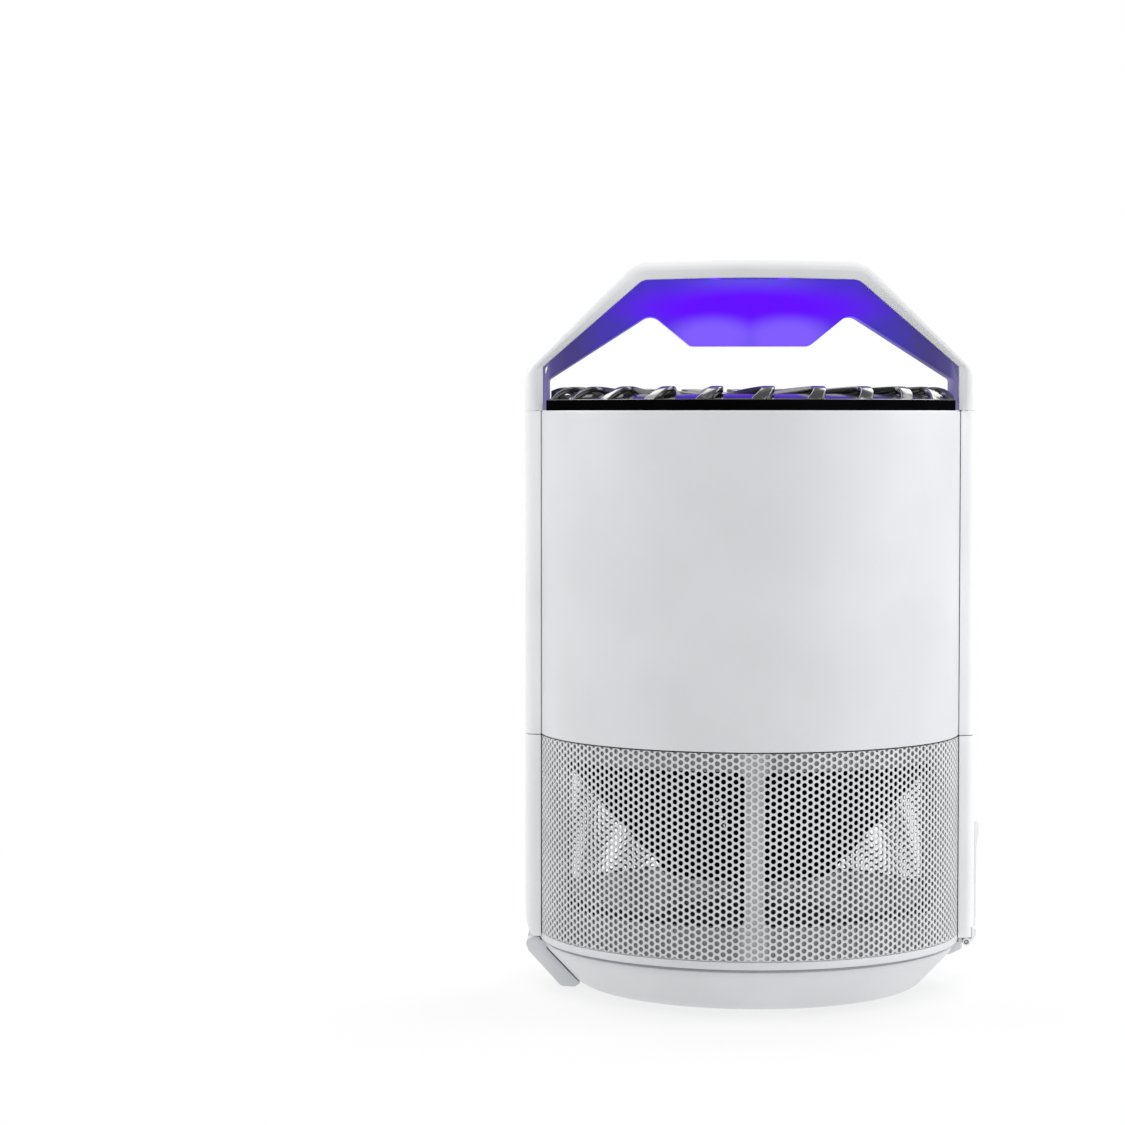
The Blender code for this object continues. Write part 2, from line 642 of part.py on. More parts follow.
def make_duct(mats):
    """Bell mouth under the grille, and the duct with its deck and the spider that holds the motor."""
    wall = DUCT_WALL
    rise = GRILLE_FOOT - GAP - 0.0016 - DUCT_TOP
    lip_r = 0.0740
    curve = []
    steps = 5
    for k in range(steps + 1):
        angle = math.pi / 2 * k / steps
        curve.append((lip_r - (lip_r - DUCT_R) * math.sin(angle), DUCT_TOP + rise * math.cos(angle)))
    outside = [(r + wall * k / steps, z - wall * (1 - k / steps)) for k, (r, z) in enumerate(curve)]
    flange_r = BODY_R - SHELL_WALL - GAP
    top = DUCT_TOP + rise
    bell = [(flange_r, top), (flange_r, top - wall), *outside, *reversed(curve)]
    turned("bell_mouth", bell, mats["grey"], steps=ROUND_INNER)
    low = SEAM_CAGE + GAP
    section = [(DUCT_R + wall, DUCT_TOP - GAP), (DUCT_R + wall, DECK_TOP), (flange_r, DECK_TOP),
               (flange_r, low), (DUCT_R, low), (DUCT_R, DUCT_TOP - GAP)]
    duct = turned("fan_duct", section, mats["white"], steps=ROUND_INNER)
    for k in range(2):
        arm = box(f"spider_arm_{k + 1}", (-DUCT_R - 0.001, -0.0025, SPIDER_Z - 0.0020),
                  (DUCT_R + 0.001, 0.0025, SPIDER_Z + 0.0020), mats["white"],
                  turn=(0, 0, math.radians(45 + 90 * k)))
        boolean(duct, arm, "UNION")
    low, high = SPIDER_Z - CUP_HALF, SPIDER_Z + CUP_HALF
    boolean(duct, rod("motor_cup", MOTOR_R + 0.0020, (0, 0, low), (0, 0, high), mats["white"], 24), "UNION")
    for k, place in enumerate(screw_places()):
        tool = rod(f"deck_hole_{k + 1}", 0.0016, place + Vector((0, 0, 0.09)), place + Vector((0, 0, 0.105)),
                   mats["white"], sides=12)
        boolean(duct, tool)
    z = MOTOR_LEAD_Z
    boolean(duct, rod("motor_lead_hole", LEAD_R + GAP, (0, 0.040, z), (0, 0.060, z), mats["white"], 12))


def make_motor(mats):
    """Motor can, its two bearings and the shaft that carries the impeller."""
    low = SPIDER_Z + CUP_HALF + GAP
    can = [(MOTOR_R - 0.0008, MOTOR_TOP), (MOTOR_R, MOTOR_TOP - 0.0008), (MOTOR_R, low), (BORE_R, low),
           (BORE_R, MOTOR_TOP)]
    turned("fan_motor", can, mats["steel"], steps=24)
    outer, inner = BORE_R - GAP, SHAFT_R + GAP
    for name, z in (("lower_bearing", low + 0.0012), ("upper_bearing", MOTOR_TOP - 0.0036)):
        turned(name, [(outer, z + 0.0030), (outer, z), (inner, z), (inner, z + 0.0030)], mats["bronze"],
               steps=ROUND_SMALL)
    rod("fan_shaft", SHAFT_R, (0, 0, low + 0.0008), (0, 0, HUB_TOP - 0.0033), mats["steel"], sides=12)


def blade_point(u, v, k):
    """A point of blade k: u runs from root to tip, v across the chord."""
    radius = HUB_R - 0.0008 + (BLADE_TIP - HUB_R + 0.0008) * u
    chord = 0.0160 + 0.0080 * u
    pitch = math.radians(38 - 14 * u)
    bend = 0.0016 * math.sin(math.pi * v)
    along = chord * (v - 0.5)
    sweep = math.radians(12) * u
    angle = math.tau * k / BLADES + sweep + along * math.cos(pitch) / radius
    z = (HUB_TOP + HUB_FOOT) / 2 + along * math.sin(pitch) + bend
    return Vector((radius * math.cos(angle), radius * math.sin(angle), z))


def make_impeller(mats):
    """Seven-blade axial impeller on a cup hub."""
    hub = [(0.0, HUB_TOP), (0.0110, HUB_TOP - 0.0005), (HUB_R, HUB_TOP - 0.0030), (HUB_R, HUB_FOOT),
           (HUB_R - 0.0014, HUB_FOOT), (HUB_R - 0.0014, HUB_TOP - 0.0060), (SHAFT_R + GAP, HUB_TOP - 0.0060),
           (SHAFT_R + GAP, HUB_TOP - 0.0030), (0.0, HUB_TOP - 0.0030)]
    impeller = turned("fan_impeller", hub, mats["black"], steps=24, closed=False)
    boolean(impeller, ribbons("blades", blade_point, BLADES, 3, 3, 0.0014, mats["black"]), "UNION")


# ---------------------------------------------------------------- inlet grille

def vane_place(u):
    """A vane's middle line, from the ring at u = 0 over its crest to the hub at u = 1, for the vane at +X."""
    (foot_r, foot_z), (crest_r, crest_z), (end_r, end_z) = VANE_FOOT, VANE_CREST, VANE_END
    if u < VANE_CLIMB:
        rise = math.pi / 2 * u / VANE_CLIMB
        radius = crest_r + (foot_r - crest_r) * math.cos(rise)
        return on_circle(radius, VANE_LEAN_DEG * math.sin(rise), foot_z + (crest_z - foot_z) * math.sin(rise))
    share = (u - VANE_CLIMB) / (1 - VANE_CLIMB)
    radius = crest_r + (end_r - crest_r) * share
    swept = (math.log(crest_r / radius) / math.log(crest_r / end_r)) ** 1.15
    return on_circle(radius, VANE_LEAN_DEG - VANE_SWEEP_DEG * swept, crest_z + (end_z - crest_z) * share ** 1.3)


def vane_section(u, turn):
    """The four corners of a vane's section at u, turned about the body's axis."""
    step = 0.01
    here = vane_place(u)
    along = (vane_place(min(1.0, u + step)) - vane_place(max(0.0, u - step))).normalized()
    tilt = math.pi / 2 * min(1.0, u / VANE_CLIMB)
    facing = here.normalized() * math.cos(tilt)
    facing.z = math.sin(tilt)
    aside = along.cross(facing).normalized()
    up = aside.cross(along)
    share = max(0.0, u - VANE_CLIMB) / (1 - VANE_CLIMB)
    half = aside * (VANE_WIDE[0] + (VANE_WIDE[1] - VANE_WIDE[0]) * share) / 2
    top = up * VANE_TALL[0] / 2
    deepened = min(1.0, share / VANE_DEEPENS)
    low = top - up * (VANE_TALL[0] + (VANE_TALL[1] - VANE_TALL[0]) * deepened)
    return [turn @ (here + side) for side in (half + top, half + low, low - half, top - half)]


def make_grille(mats):
    """Inlet grille: an outer ring with a sloping collar, hooked vanes over a shallow dish, and a hub."""
    inner = GRILLE_R - GRILLE_WALL
    under = GRILLE_RING_TOP - 0.0016
    section = [(GRILLE_R - 0.0006, GRILLE_RING_TOP), (GRILLE_R, GRILLE_RING_TOP - 0.0006),
               (GRILLE_R, GRILLE_FOOT), (inner, GRILLE_FOOT), (inner, under),
               (COLLAR_R, COLLAR_TOP - 0.0016), (COLLAR_R, COLLAR_TOP)]
    grille = turned("inlet_grille", section, mats["black"])
    places = [0.0, 0.12, 0.24, VANE_CLIMB, 0.44, 0.56, 0.70, 0.85, 1.0]
    turns = [Matrix.Rotation(math.tau * k / VANES, 3, "Z") for k in range(VANES)]
    runs = [[vane_section(u, turn) for u in places] for turn in turns]
    boolean(grille, lofts("vanes", runs, mats["black"]), "UNION")
    low, top = HUB_GRILLE_Z - 0.0030, HUB_GRILLE_Z + 0.0016
    hub = [(0.0, top), (HUB_GRILLE_R - 0.0020, top - 0.0004), (HUB_GRILLE_R, top - 0.0016), (HUB_GRILLE_R, low),
           (0.0, low)]
    boolean(grille, turned("grille_hub", hub, mats["black"], steps=24, closed=False), "UNION")
    for side in (-1, 1):
        near, far = sorted((side * NOTCH_X, side * 0.0820))
        notch = box("leg_notch", (near, -NOTCH_HALF, RIM - GAP), (far, NOTCH_HALF, RIM + 0.0200), mats["black"])
        boolean(grille, notch)


# ---------------------------------------------------------------- handle

def handle_edge(leg, leg_bend, shoulder, shoulder_bend, crown):
    """One edge of the handle's front, from its right foot over to its left foot."""
    right = [(leg[0], GAP / 2, 0.0), (*leg, leg_bend), (*shoulder, shoulder_bend)]
    left = [(-x, z, bend) for x, z, bend in reversed(right)]
    return rounded(right + [(0.0, crown, CROWN_BEND)] + left, steps=4)


def handle_line(inset):
    """A line along the handle's front: its outer edge at inset 0, and its inner edge at HANDLE_BAND."""
    outer = handle_edge((STRIP_X, HANDLE_LEG), LEG_BEND, HANDLE_SHOULDER, SHOULDER_BEND, HANDLE_CROWN)
    inner = handle_edge(INNER_LEG, INNER_LEG_BEND, INNER_SHOULDER, INNER_SHOULDER_BEND,
                        HANDLE_CROWN - HANDLE_BAND)
    return [far.lerp(near, inset / HANDLE_BAND) for far, near in zip(outer, inner)]


def make_handle(mats):
    """Handle shell: a channel bent over the grille and open on its inner side."""
    wall = HANDLE_WALL
    inner = STRIP_HALF - wall
    band = HANDLE_BAND
    half = [(0.0, EDGE_FLAT), EDGE_MID, (EDGE_FULL, STRIP_HALF), (band, STRIP_HALF - 0.0009),
            (band, inner - 0.0004), (wall, inner - 0.0006)]
    section = half + [(n, -y) for n, y in reversed(half)]
    lines = {n: handle_line(n) for n, _ in section}
    loops = [[Vector((lines[n][i].x, y, RIM + lines[n][i].y)) for n, y in section]
             for i in range(len(lines[0.0]))]
    shell = lofted("handle_shell", loops, mats["strip"])
    for side in (-1, 1):
        low, high = sorted((side * INNER_LEG[0], side * 0.0832))
        floor = box("handle_floor", (low, -0.0134, RIM + GAP / 2), (high, 0.0134, RIM + FLOOR_T), mats["strip"])
        boolean(shell, floor, "UNION")
        boolean(shell, handle_screw_tool(side, mats))
    boolean(shell, lead_tool(mats))


def handle_screw_tool(side, mats):
    """A clearance hole for the screw that holds one leg of the handle on its strip."""
    x = side * HANDLE_SCREW_X
    return rod("handle_hole", HANDLE_SCREW_R + GAP, (x, HANDLE_SCREW_Y, RIM - 0.0080),
               (x, HANDLE_SCREW_Y, RIM + 0.0050), mats["steel"], sides=12)


def lead_tool(mats):
    """The upright hole that the lamp's lead runs through, from the right leg down into the strip."""
    return rod("lead_hole", LEAD_R + 0.0004, (LEAD_X, LEAD_Y, LEAD_Z - 0.0005), (LEAD_X, LEAD_Y, RIM + 0.0050),
               mats["cable"], sides=12)


def lead_side_tool(mats):
    """The level hole that takes the lamp's lead from the right strip into the housing."""
    return rod("lead_side_hole", LEAD_R + 0.0004, (0.0700, LEAD_Y, LEAD_Z), (LEAD_X + 0.0006, LEAD_Y, LEAD_Z),
               mats["cable"], sides=12)


def edge_height(line, x):
    """The height of a handle line above x, between its two legs."""
    for near, far in zip(line, line[1:]):
        if far.x <= x <= near.x and near.x > far.x:
            return near.y + (far.y - near.y) * (near.x - x) / (near.x - far.x)
    return line[0].y


def diffuser_stations():
    """Matching upper and lower points of the diffuser, from its right foot to its left foot, above the rim."""
    upper = handle_line(HANDLE_BAND + GAP)
    knee, arch, keel = DIFFUSER_KNEE, DIFFUSER_ARCH, DIFFUSER_KEEL
    right = [(knee[0], GAP / 2, 0.0), (*knee, 0.0015), (*arch, 0.0050), (*keel, 0.0030)]
    lower = rounded(right + [(-x, z, bend) for x, z, bend in reversed(right)])
    stations = []
    for low in lower:
        if abs(low.x) > knee[0] - 0.0002:
            high = Vector((math.copysign(knee[0] + LINER_T, low.x), low.y))
        else:
            high = Vector((low.x, edge_height(upper, low.x)))
        stations.append((high, low))
    return stations


def diffuser_width(x, z):
    """Half the diffuser's depth at its lower edge: full on the legs, narrow at the keel."""
    share = min(1.0, max(0.0, (abs(x) - DIFFUSER_KEEL[0]) / (DIFFUSER_KNEE[0] - DIFFUSER_KEEL[0])))
    return KEEL_HALF + (LINER_HALF - KEEL_HALF) * share


def make_diffuser(mats):
    """Milky diffuser inside the handle: thin liners on the legs, a hollow keel over the grille."""
    loops = []
    hollow = []
    wall = 0.0018
    for high, low in diffuser_stations():
        deep = diffuser_width(*low)
        wide = LINER_HALF + 0.0008 if high.x == low.x else deep
        loops.append([Vector((high.x, -wide, RIM + high.y)), Vector((high.x, wide, RIM + high.y)),
                      Vector((low.x, deep, RIM + low.y)), Vector((low.x, -deep, RIM + low.y))])
        if abs(low.x) < 0.0660:
            wide, deep = wide - wall, deep - wall
            ceiling, floor = RIM + high.y + 0.0012, RIM + low.y + wall * 1.2
            hollow.append([Vector((high.x, -wide, ceiling)), Vector((high.x, wide, ceiling)),
                           Vector((low.x, deep, floor)), Vector((low.x, -deep, floor))])
    diffuser = lofted("handle_diffuser", loops, mats["milky"])
    boolean(diffuser, lofted("diffuser_hollow", hollow, mats["milky"]))


def make_lamps(mats):
    """Lamp board under the handle's crown, with four ultraviolet lamps on it."""
    low = RIM + LAMP_BOARD_Z
    box("lamp_board", (-0.0420, -0.0080, low), (0.0420, 0.0080, low + 0.0010), mats["board"])
    for k, x in enumerate((-0.0360, -0.0130, 0.0130, 0.0360)):
        rod(f"uv_lamp_{k + 1}", 0.0022, (x, 0, low - GAP - 0.0012), (x, 0, low - GAP), mats["lamp"], sides=12)


# ---------------------------------------------------------------- controls, leads and screws

def make_controls(mats):
    """Control board, its two switches and the two buttons that press them."""
    face = CONTROL_Y
    box("control_board", (-0.0200, face - 0.0014, BUTTON_Z - 0.0160), (0.0200, face, BUTTON_Z + 0.0140),
        mats["board"])
    cap, flange, stem = 0.0806, 0.0752, 0.0728
    section = [(0.0, cap), (BUTTON_R - 0.0008, cap), (BUTTON_R, cap - 0.0008), (BUTTON_R, flange),
               (BUTTON_R + 0.0012, flange), (BUTTON_R + 0.0012, flange - 0.0012), (0.0018, flange - 0.0012),
               (0.0018, stem), (0.0, stem)]
    for word, x in (("power", -BUTTON_X), ("mode", BUTTON_X)):
        turned(f"{word}_button", section, mats["grey"], steps=20, closed=False, place=(x, 0.0, BUTTON_Z),
               turn=(-math.pi / 2, 0.0, 0.0))
        low = face + GAP
        switch = box(f"{word}_switch", (x - 0.0030, low, BUTTON_Z - 0.0030), (x + 0.0030, low + 0.0030,
                                                                              BUTTON_Z + 0.0030), mats["dark"])
        plunger = rod(f"{word}_plunger", 0.0015, (x, low + 0.0020, BUTTON_Z), (x, stem - 0.0014, BUTTON_Z),
                      mats["dark"], sides=12)
        boolean(switch, plunger, "UNION")


def make_jack(mats):
    """Round power socket behind its opening in the housing."""
    mouth, back = 0.0797, 0.0680
    section = [(0.0, mouth - 0.0012), (0.0010, mouth - 0.0012), (0.0010, back + 0.0020),
               (0.0030, back + 0.0020), (0.0030, mouth), (0.0042, mouth), (0.0042, back), (0.0, back)]
    turned("power_jack", section, mats["black"], steps=ROUND_SMALL, closed=False, place=(0.0, 0.0, JACK_Z),
           turn=(-math.pi / 2, 0.0, 0.0))


def make_leads(mats):
    """Leads from the control board to the lamps, the motor and the power socket."""
    path = [(p.x, LEAD_Y, RIM + p.y) for p in handle_line(0.0050) if p.x > 0.0440 and p.y > 0.0100]
    board = (0.0428, LEAD_Y, RIM + LAMP_BOARD_Z + 0.0002)
    down = [(LEAD_X, LEAD_Y, RIM + 0.0080), (LEAD_X, LEAD_Y, LEAD_Z), (0.0730, LEAD_Y, LEAD_Z)]
    round_wall = [tuple(on_circle(0.0720, angle, LEAD_Z - 0.0150)) for angle in (0, 18, 36, 54, 68)]
    end = (0.0208, CONTROL_Y - 0.0007, BUTTON_Z + 0.0080)
    tube("lamp_lead", LEAD_R, [board, *reversed(path), *down, *round_wall, end], mats["cable"])
    y = CONTROL_Y - 0.0007
    foot = BUTTON_Z - 0.0160 - LEAD_R - GAP
    tube("motor_lead", LEAD_R, [(0.0, MOTOR_R + GAP, MOTOR_LEAD_Z), (0.0, 0.0540, MOTOR_LEAD_Z),
                                (0.0080, 0.0600, MOTOR_LEAD_Z + 0.0140), (0.0080, y, foot)], mats["cable"])
    z = JACK_Z
    tube("power_lead", LEAD_R, [(0.0, 0.0680 - GAP, z), (0.0, 0.0660, z), (-0.0040, 0.0640, z + 0.0080),
                                (-0.0080, y, foot)], mats["cable"])


def make_screws(mats):
    """Screws that hold the fan deck on the cage, and the handle on its strips."""
    head_r, head_t, shank_r, long = 0.0026, 0.0016, 0.0013, 0.0056
    section = [(0.0, head_t), (head_r, head_t), (head_r, 0.0), (shank_r, 0.0), (shank_r, -long), (0.0, -long)]
    for k, place in enumerate(screw_places()):
        turned(f"deck_screw_{k + 1}", section, mats["steel"], steps=12, closed=False,
               place=place + Vector((0, 0, DECK_TOP + GAP)))
    head_r, shank_r, long = 0.0013, HANDLE_SCREW_R, 0.0090
    section = [(0.0, head_t), (head_r, head_t), (head_r, 0.0), (shank_r, 0.0), (shank_r, -long), (0.0, -long)]
    for word, side in (("left", -1), ("right", 1)):
        turned(f"handle_screw_{word}", section, mats["steel"], steps=12, closed=False,
               place=(side * HANDLE_SCREW_X, HANDLE_SCREW_Y, RIM + FLOOR_T + GAP))


def build():
    """Makes the whole object."""
    start_scene()
    mats = make_materials()
    make_base_bowl(mats)
    make_feet(mats)
    make_tray(mats)
    make_latch(mats)
    make_cage(mats)
    make_screens(mats)
    make_funnel(mats)
    make_strips(mats)
    make_housing(mats)
    make_duct(mats)
    make_motor(mats)
    make_impeller(mats)
    make_grille(mats)
    make_handle(mats)
    make_diffuser(mats)
    make_lamps(mats)
    make_controls(mats)
    make_jack(mats)
    make_leads(mats)
    make_screws(mats)


build()
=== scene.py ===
import math

import bmesh
import bpy
from mathutils import Matrix, Vector


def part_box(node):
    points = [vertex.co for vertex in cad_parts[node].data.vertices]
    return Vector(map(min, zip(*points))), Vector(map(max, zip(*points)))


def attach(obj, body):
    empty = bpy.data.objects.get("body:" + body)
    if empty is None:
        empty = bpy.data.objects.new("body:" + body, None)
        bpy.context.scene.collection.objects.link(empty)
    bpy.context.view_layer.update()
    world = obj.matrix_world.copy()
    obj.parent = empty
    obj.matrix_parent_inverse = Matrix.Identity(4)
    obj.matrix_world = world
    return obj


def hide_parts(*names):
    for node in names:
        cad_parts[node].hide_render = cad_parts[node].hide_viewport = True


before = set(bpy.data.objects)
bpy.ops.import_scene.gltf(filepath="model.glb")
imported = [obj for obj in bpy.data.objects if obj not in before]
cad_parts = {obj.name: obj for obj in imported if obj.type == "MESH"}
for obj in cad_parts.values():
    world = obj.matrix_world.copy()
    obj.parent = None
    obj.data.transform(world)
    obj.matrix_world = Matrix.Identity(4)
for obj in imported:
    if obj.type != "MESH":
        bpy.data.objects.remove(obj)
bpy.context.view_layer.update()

# Sizes read from the frame, in metres
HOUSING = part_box("housing_shell")
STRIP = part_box("side_strip_right")
LOWER_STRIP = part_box("cage_strip_right")
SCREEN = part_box("screen_front")
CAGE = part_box("cage_frame")
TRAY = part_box("catch_tray")
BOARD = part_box("glue_board")
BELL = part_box("bell_mouth")
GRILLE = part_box("inlet_grille")
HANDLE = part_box("handle_shell")
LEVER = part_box("latch_lever")
HINGE_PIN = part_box("hinge_pin")
LATCH_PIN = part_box("latch_pin")
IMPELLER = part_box("fan_impeller")
POWER_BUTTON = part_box("power_button")
MODE_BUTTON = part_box("mode_button")
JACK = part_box("power_jack")

BODY_R = HOUSING[1].x
RIM = HOUSING[1].z
STRIP_X = STRIP[1].x
STRIP_HALF = STRIP[1].y
SCREEN_LOW, SCREEN_HIGH = SCREEN[0].z, SCREEN[1].z
SEAM_BASE = CAGE[0].z
BOWL_FLOOR = 0.0007
BOWL_R = 0.0785

# Base: hinge on the left, latch on the right, feet below
HINGE_R = 0.0022
HINGE_BORE = 0.0012
HINGE_TONGUE_HALF = 0.0065
HINGE_SLOT_HALF = 0.0068
LUG_HALF = 0.0135
LUG_TOP = 0.0195
LUG_ROOT = -0.0766
LATCH_R = 0.0015
LATCH_BORE = 0.0009
EAR_HALF = 0.0040
EAR_SLOT_HALF = 0.0043
FOOT_RING = 0.0480
FOOT_SEAT_R = 0.0063
FOOT_SEAT_TOP = 0.0017
TRAY_WALL = 0.0018
TRAY_FLOOR = 0.0016
TRAY_DIP = 0.0014

# Clearance between pieces, and fineness of the visual meshes
GAP = 0.0003
SMOOTH = 192
MEDIUM = 96
SMALL = 48
TINY = 0.00001
SHARP_DEG = 32
SOFT_EDGE_DEG = 50

# Shared edges
EDGE_R = 0.0036
SEAM_EDGE = 0.0003
SHELL_WALL = 0.0024

# Perforated sheet: columns on the full circle, and rows
COLUMNS = 224
ROW_PITCH = 0.00259
HOLE_R = 0.00095
HOLE_SIDES = 12
SHEET_T = 0.0004
SCREEN_END_DEG = 78.4

# Cage and its windows behind the sheet
CAGE_R = 0.0792
WINDOW_LOW = 0.0340
WINDOW_HIGH = 0.0900
RIB_HALF_DEG = 2.6
WINDOW_END_DEG = 63.0
WINDOW_SOFT = 0.0035
WINDOW_CUT = (0.070, 0.085)

# Funnel
FUNNEL_TOP = (0.0726, 0.0877)
FUNNEL_FOOT = (0.0336, 0.0456)
FUNNEL_WALL = 0.0016
FUNNEL_RIM = 0.0764
SLOTS = 30
SLOT_HALF = (0.0180, 0.0010)
SLOT_BEND = 0.00095

# Grille
RING_TOP = RIM + 0.0040
RING_WALL = 0.0022
COLLAR = (0.0700, RIM + 0.0060)
VANES = 24
VANE_FOOT = (0.0768, RIM + 0.0023)
VANE_CREST = (0.0700, RIM + 0.0078)
VANE_END = (0.0170, RIM + 0.0022)
VANE_CLIMB = 0.35
VANE_DEEPENS = 0.3
VANE_LEAN_DEG = 3.8
VANE_SWEEP_DEG = 50.0
VANE_WIDE = (0.0048, 0.0028)
VANE_TALL = (0.0020, 0.0054)
GRILLE_HUB_R = 0.0180
GRILLE_HUB_Z = RIM + 0.0020
NOTCH_X = 0.0752
NOTCH_HALF = 0.0150
RING_T = 0.0016

# Handle, with heights above the rim
BAND = 0.0078
LEG_TOP = 0.0150
LEG_BEND = 0.0095
SHOULDER_BEND = 0.0150
CROWN_BEND = 0.9
SHOULDER = (0.0440, 0.0566)
CROWN = HANDLE[1].z - RIM + 0.0003
HANDLE_WALL = 0.0024
INNER_LEG = (0.0780, 0.0164)
INNER_LEG_BEND = 0.0010
INNER_SHOULDER = (0.0405, 0.0490)
INNER_SHOULDER_BEND = 0.0060
KNEE = (0.0762, 0.0118)
ARCH = (0.0374, 0.0366)
KEEL = (0.0225, 0.0244)
LINER_T = 0.0014
LINER_HALF = 0.0122
KEEL_HALF = 0.0085
HANDLE_FOOT = (0.0832, 0.0134, 0.0030)
HANDLE_SCREW = (0.0811, 0.0100)
HANDLE_LEAD = (0.0815, -0.0080)

# Latch lever and its recess in the right lower strip
LEVER_RECESS = 0.0012
LEVER_FOOT_TOP = 0.0240
LEVER_ARM_HALF = 0.0100

# Strips: their root in the body, and how the left one tucks in beside the hinge lug
STRIP_ROOT = 0.0790
TUCK_FROM, TUCK_TO = 0.0310, 0.0195
TUCK = 0.0034

# Controls on the back
BUTTON_R = 0.0050
BUTTON_HOLE_R = 0.0053
BUTTON_FLANGE = (0.0062, 0.0752, 0.0012)
BUTTON_STEM_R = 0.0018
JACK_R = 0.0042
JACK_HOLE_R = 0.0045

# Bell mouth
BELL_WALL = 0.0018
BELL_THROAT = 0.0462
BELL_LIP = 0.0740

# Impeller
BLADES = 7
BLADE_T = 0.0014
BLADE_CHORD = (0.0160, 0.0240)
BLADE_PITCH_DEG = (38, 24)
BLADE_CAMBER = 0.0016
BLADE_TIP = 0.0443
HUB_R = 0.0150
HUB_WALL = 0.0014
SHAFT_BORE = 0.0018

# Light from the surround: what falls on the object from the front, and from above and behind
AMBIENT_FRONT = 0.12
AMBIENT_BACK = 0.50

# How dark the cage is painted under the perforated sheet, as painted shade for the shadow in the sheet's
# holes, and how dark its middle rib is painted there
SEAT_SHADE = 0.62
RIB_SHADE = 0.16

# Floor and camera
FLOOR_R = 12.0
CAMERA_FAR = 1.198
CAMERA_HIGH = 0.2176
CAMERA_YAW_DEG = 1.7
CAMERA_DOWN_DEG = 2.69
LENS_MM = 100.5
SENSOR_MM = 36.0


# ---------------------------------------------------------------- materials

def srgb(red, green, blue):
    """A display colour from 0 to 255 as the linear colour that shaders use."""
    shares = (red / 255, green / 255, blue / 255)
    return tuple(c / 12.92 if c <= 0.04045 else ((c + 0.055) / 1.055) ** 2.4 for c in shares) + (1.0,)


def node(tree, kind, inputs=None, **settings):
    """Adds a shader node; inputs gives each socket a value or a link from another node's socket."""
    made = tree.nodes.new("ShaderNode" + kind)
    for key, value in settings.items():
        setattr(made, key, value)
    for key, value in (inputs or {}).items():
        if isinstance(value, bpy.types.NodeSocket):
            tree.links.new(value, made.inputs[key])
        else:
            made.inputs[key].default_value = value
    return made


def calc(tree, operation, first, second=0.0):
    """The result of one sum."""
    return node(tree, "Math", {0: first, 1: second}, operation=operation).outputs[0]


def noise(tree, place, scale, detail=2.0):
    """Noise from 0 to 1, with scale in cycles per metre."""
    return node(tree, "TexNoise", {"Vector": place, "Scale": scale, "Detail": detail}).outputs["Fac"]


def ramp(tree, share, stops):
    """A smooth colour ramp through (place, colour) stops."""
    made = node(tree, "ValToRGB", {"Fac": share})
    elements = made.color_ramp.elements
    made.color_ramp.interpolation = "EASE"
    while len(elements) < len(stops):
        elements.new(0.5)
    for element, (place, colour) in zip(elements, stops):
        element.position = place
        element.color = colour
    return made.outputs["Color"]


def mixed(tree, share, first, second):
    """A mix of two colours."""
    made = node(tree, "Mix", data_type="RGBA")
    for key, value in ((0, share), (6, first), (7, second)):
        if isinstance(value, bpy.types.NodeSocket):
            tree.links.new(value, made.inputs[key])
        else:
            made.inputs[key].default_value = value
    return made.outputs[2]


def blank(name):
    """A new material: itself, its tree, its shader and its place socket."""
    made = bpy.data.materials.new(name)
    made.use_nodes = True
    tree = made.node_tree
    shader = tree.nodes["Principled BSDF"]
    place = tree.nodes.new("ShaderNodeTexCoord").outputs["Object"]
    return made, tree, shader, place


def scaled(colour, share):
    """A colour made lighter or darker."""
    return tuple(min(1.0, c * share) for c in colour[:3]) + (1.0,)


def spanned(tree, value, span, start):
    """A value from 0 to 1 stretched over a span that begins at start."""
    return calc(tree, "ADD", calc(tree, "MULTIPLY", value, span), start)


def mapped(tree, value, span, ends, smooth=False):
    """A value's place in a span, turned into its place between two ends."""
    inputs = {0: value, 1: span[0], 2: span[1], 3: ends[0], 4: ends[1]}
    return node(tree, "MapRange", inputs, interpolation_type="SMOOTHSTEP" if smooth else "LINEAR").outputs[0]


def dressed(tree, shader, **inputs):
    """Gives the shader's inputs values or links; underscores in their names stand for spaces."""
    for key, value in inputs.items():
        socket = shader.inputs[key.replace("_", " ")]
        if isinstance(value, bpy.types.NodeSocket):
            tree.links.new(value, socket)
        else:
            socket.default_value = value


def bump(tree, height, strength, distance, invert=False):
    """A surface normal bent by a height."""
    inputs = {"Strength": strength, "Distance": distance, "Height": height}
    return node(tree, "Bump", inputs, invert=invert).outputs["Normal"]


def two_tone(tree, share, dark, light):
    """A colour that goes from dark to light with a noise."""
    return ramp(tree, share, [(0.3, dark), (0.7, light)])


def plastic(name, colour, roughness, grain=0.00003, spread=0.03, specular=0.5):
    """Moulded plastic: fine spark-eroded grain, slow changes of tone and uneven gloss."""
    made, tree, shader, place = blank(name)
    fine = noise(tree, place, 2200.0, 3.0)
    slow = calc(tree, "MULTIPLY", noise(tree, place, 28.0), 0.7)
    tone = calc(tree, "ADD", slow, calc(tree, "MULTIPLY", fine, 0.3))
    dark, light = scaled(colour, 1 - spread), scaled(colour, 1 + spread)
    dressed(tree, shader, Base_Color=two_tone(tree, tone, dark, light),
            Roughness=spanned(tree, noise(tree, place, 90.0, 4.0), 0.12, roughness - 0.06),
            Normal=bump(tree, fine, 0.6, grain), Specular_IOR_Level=specular)
    return made


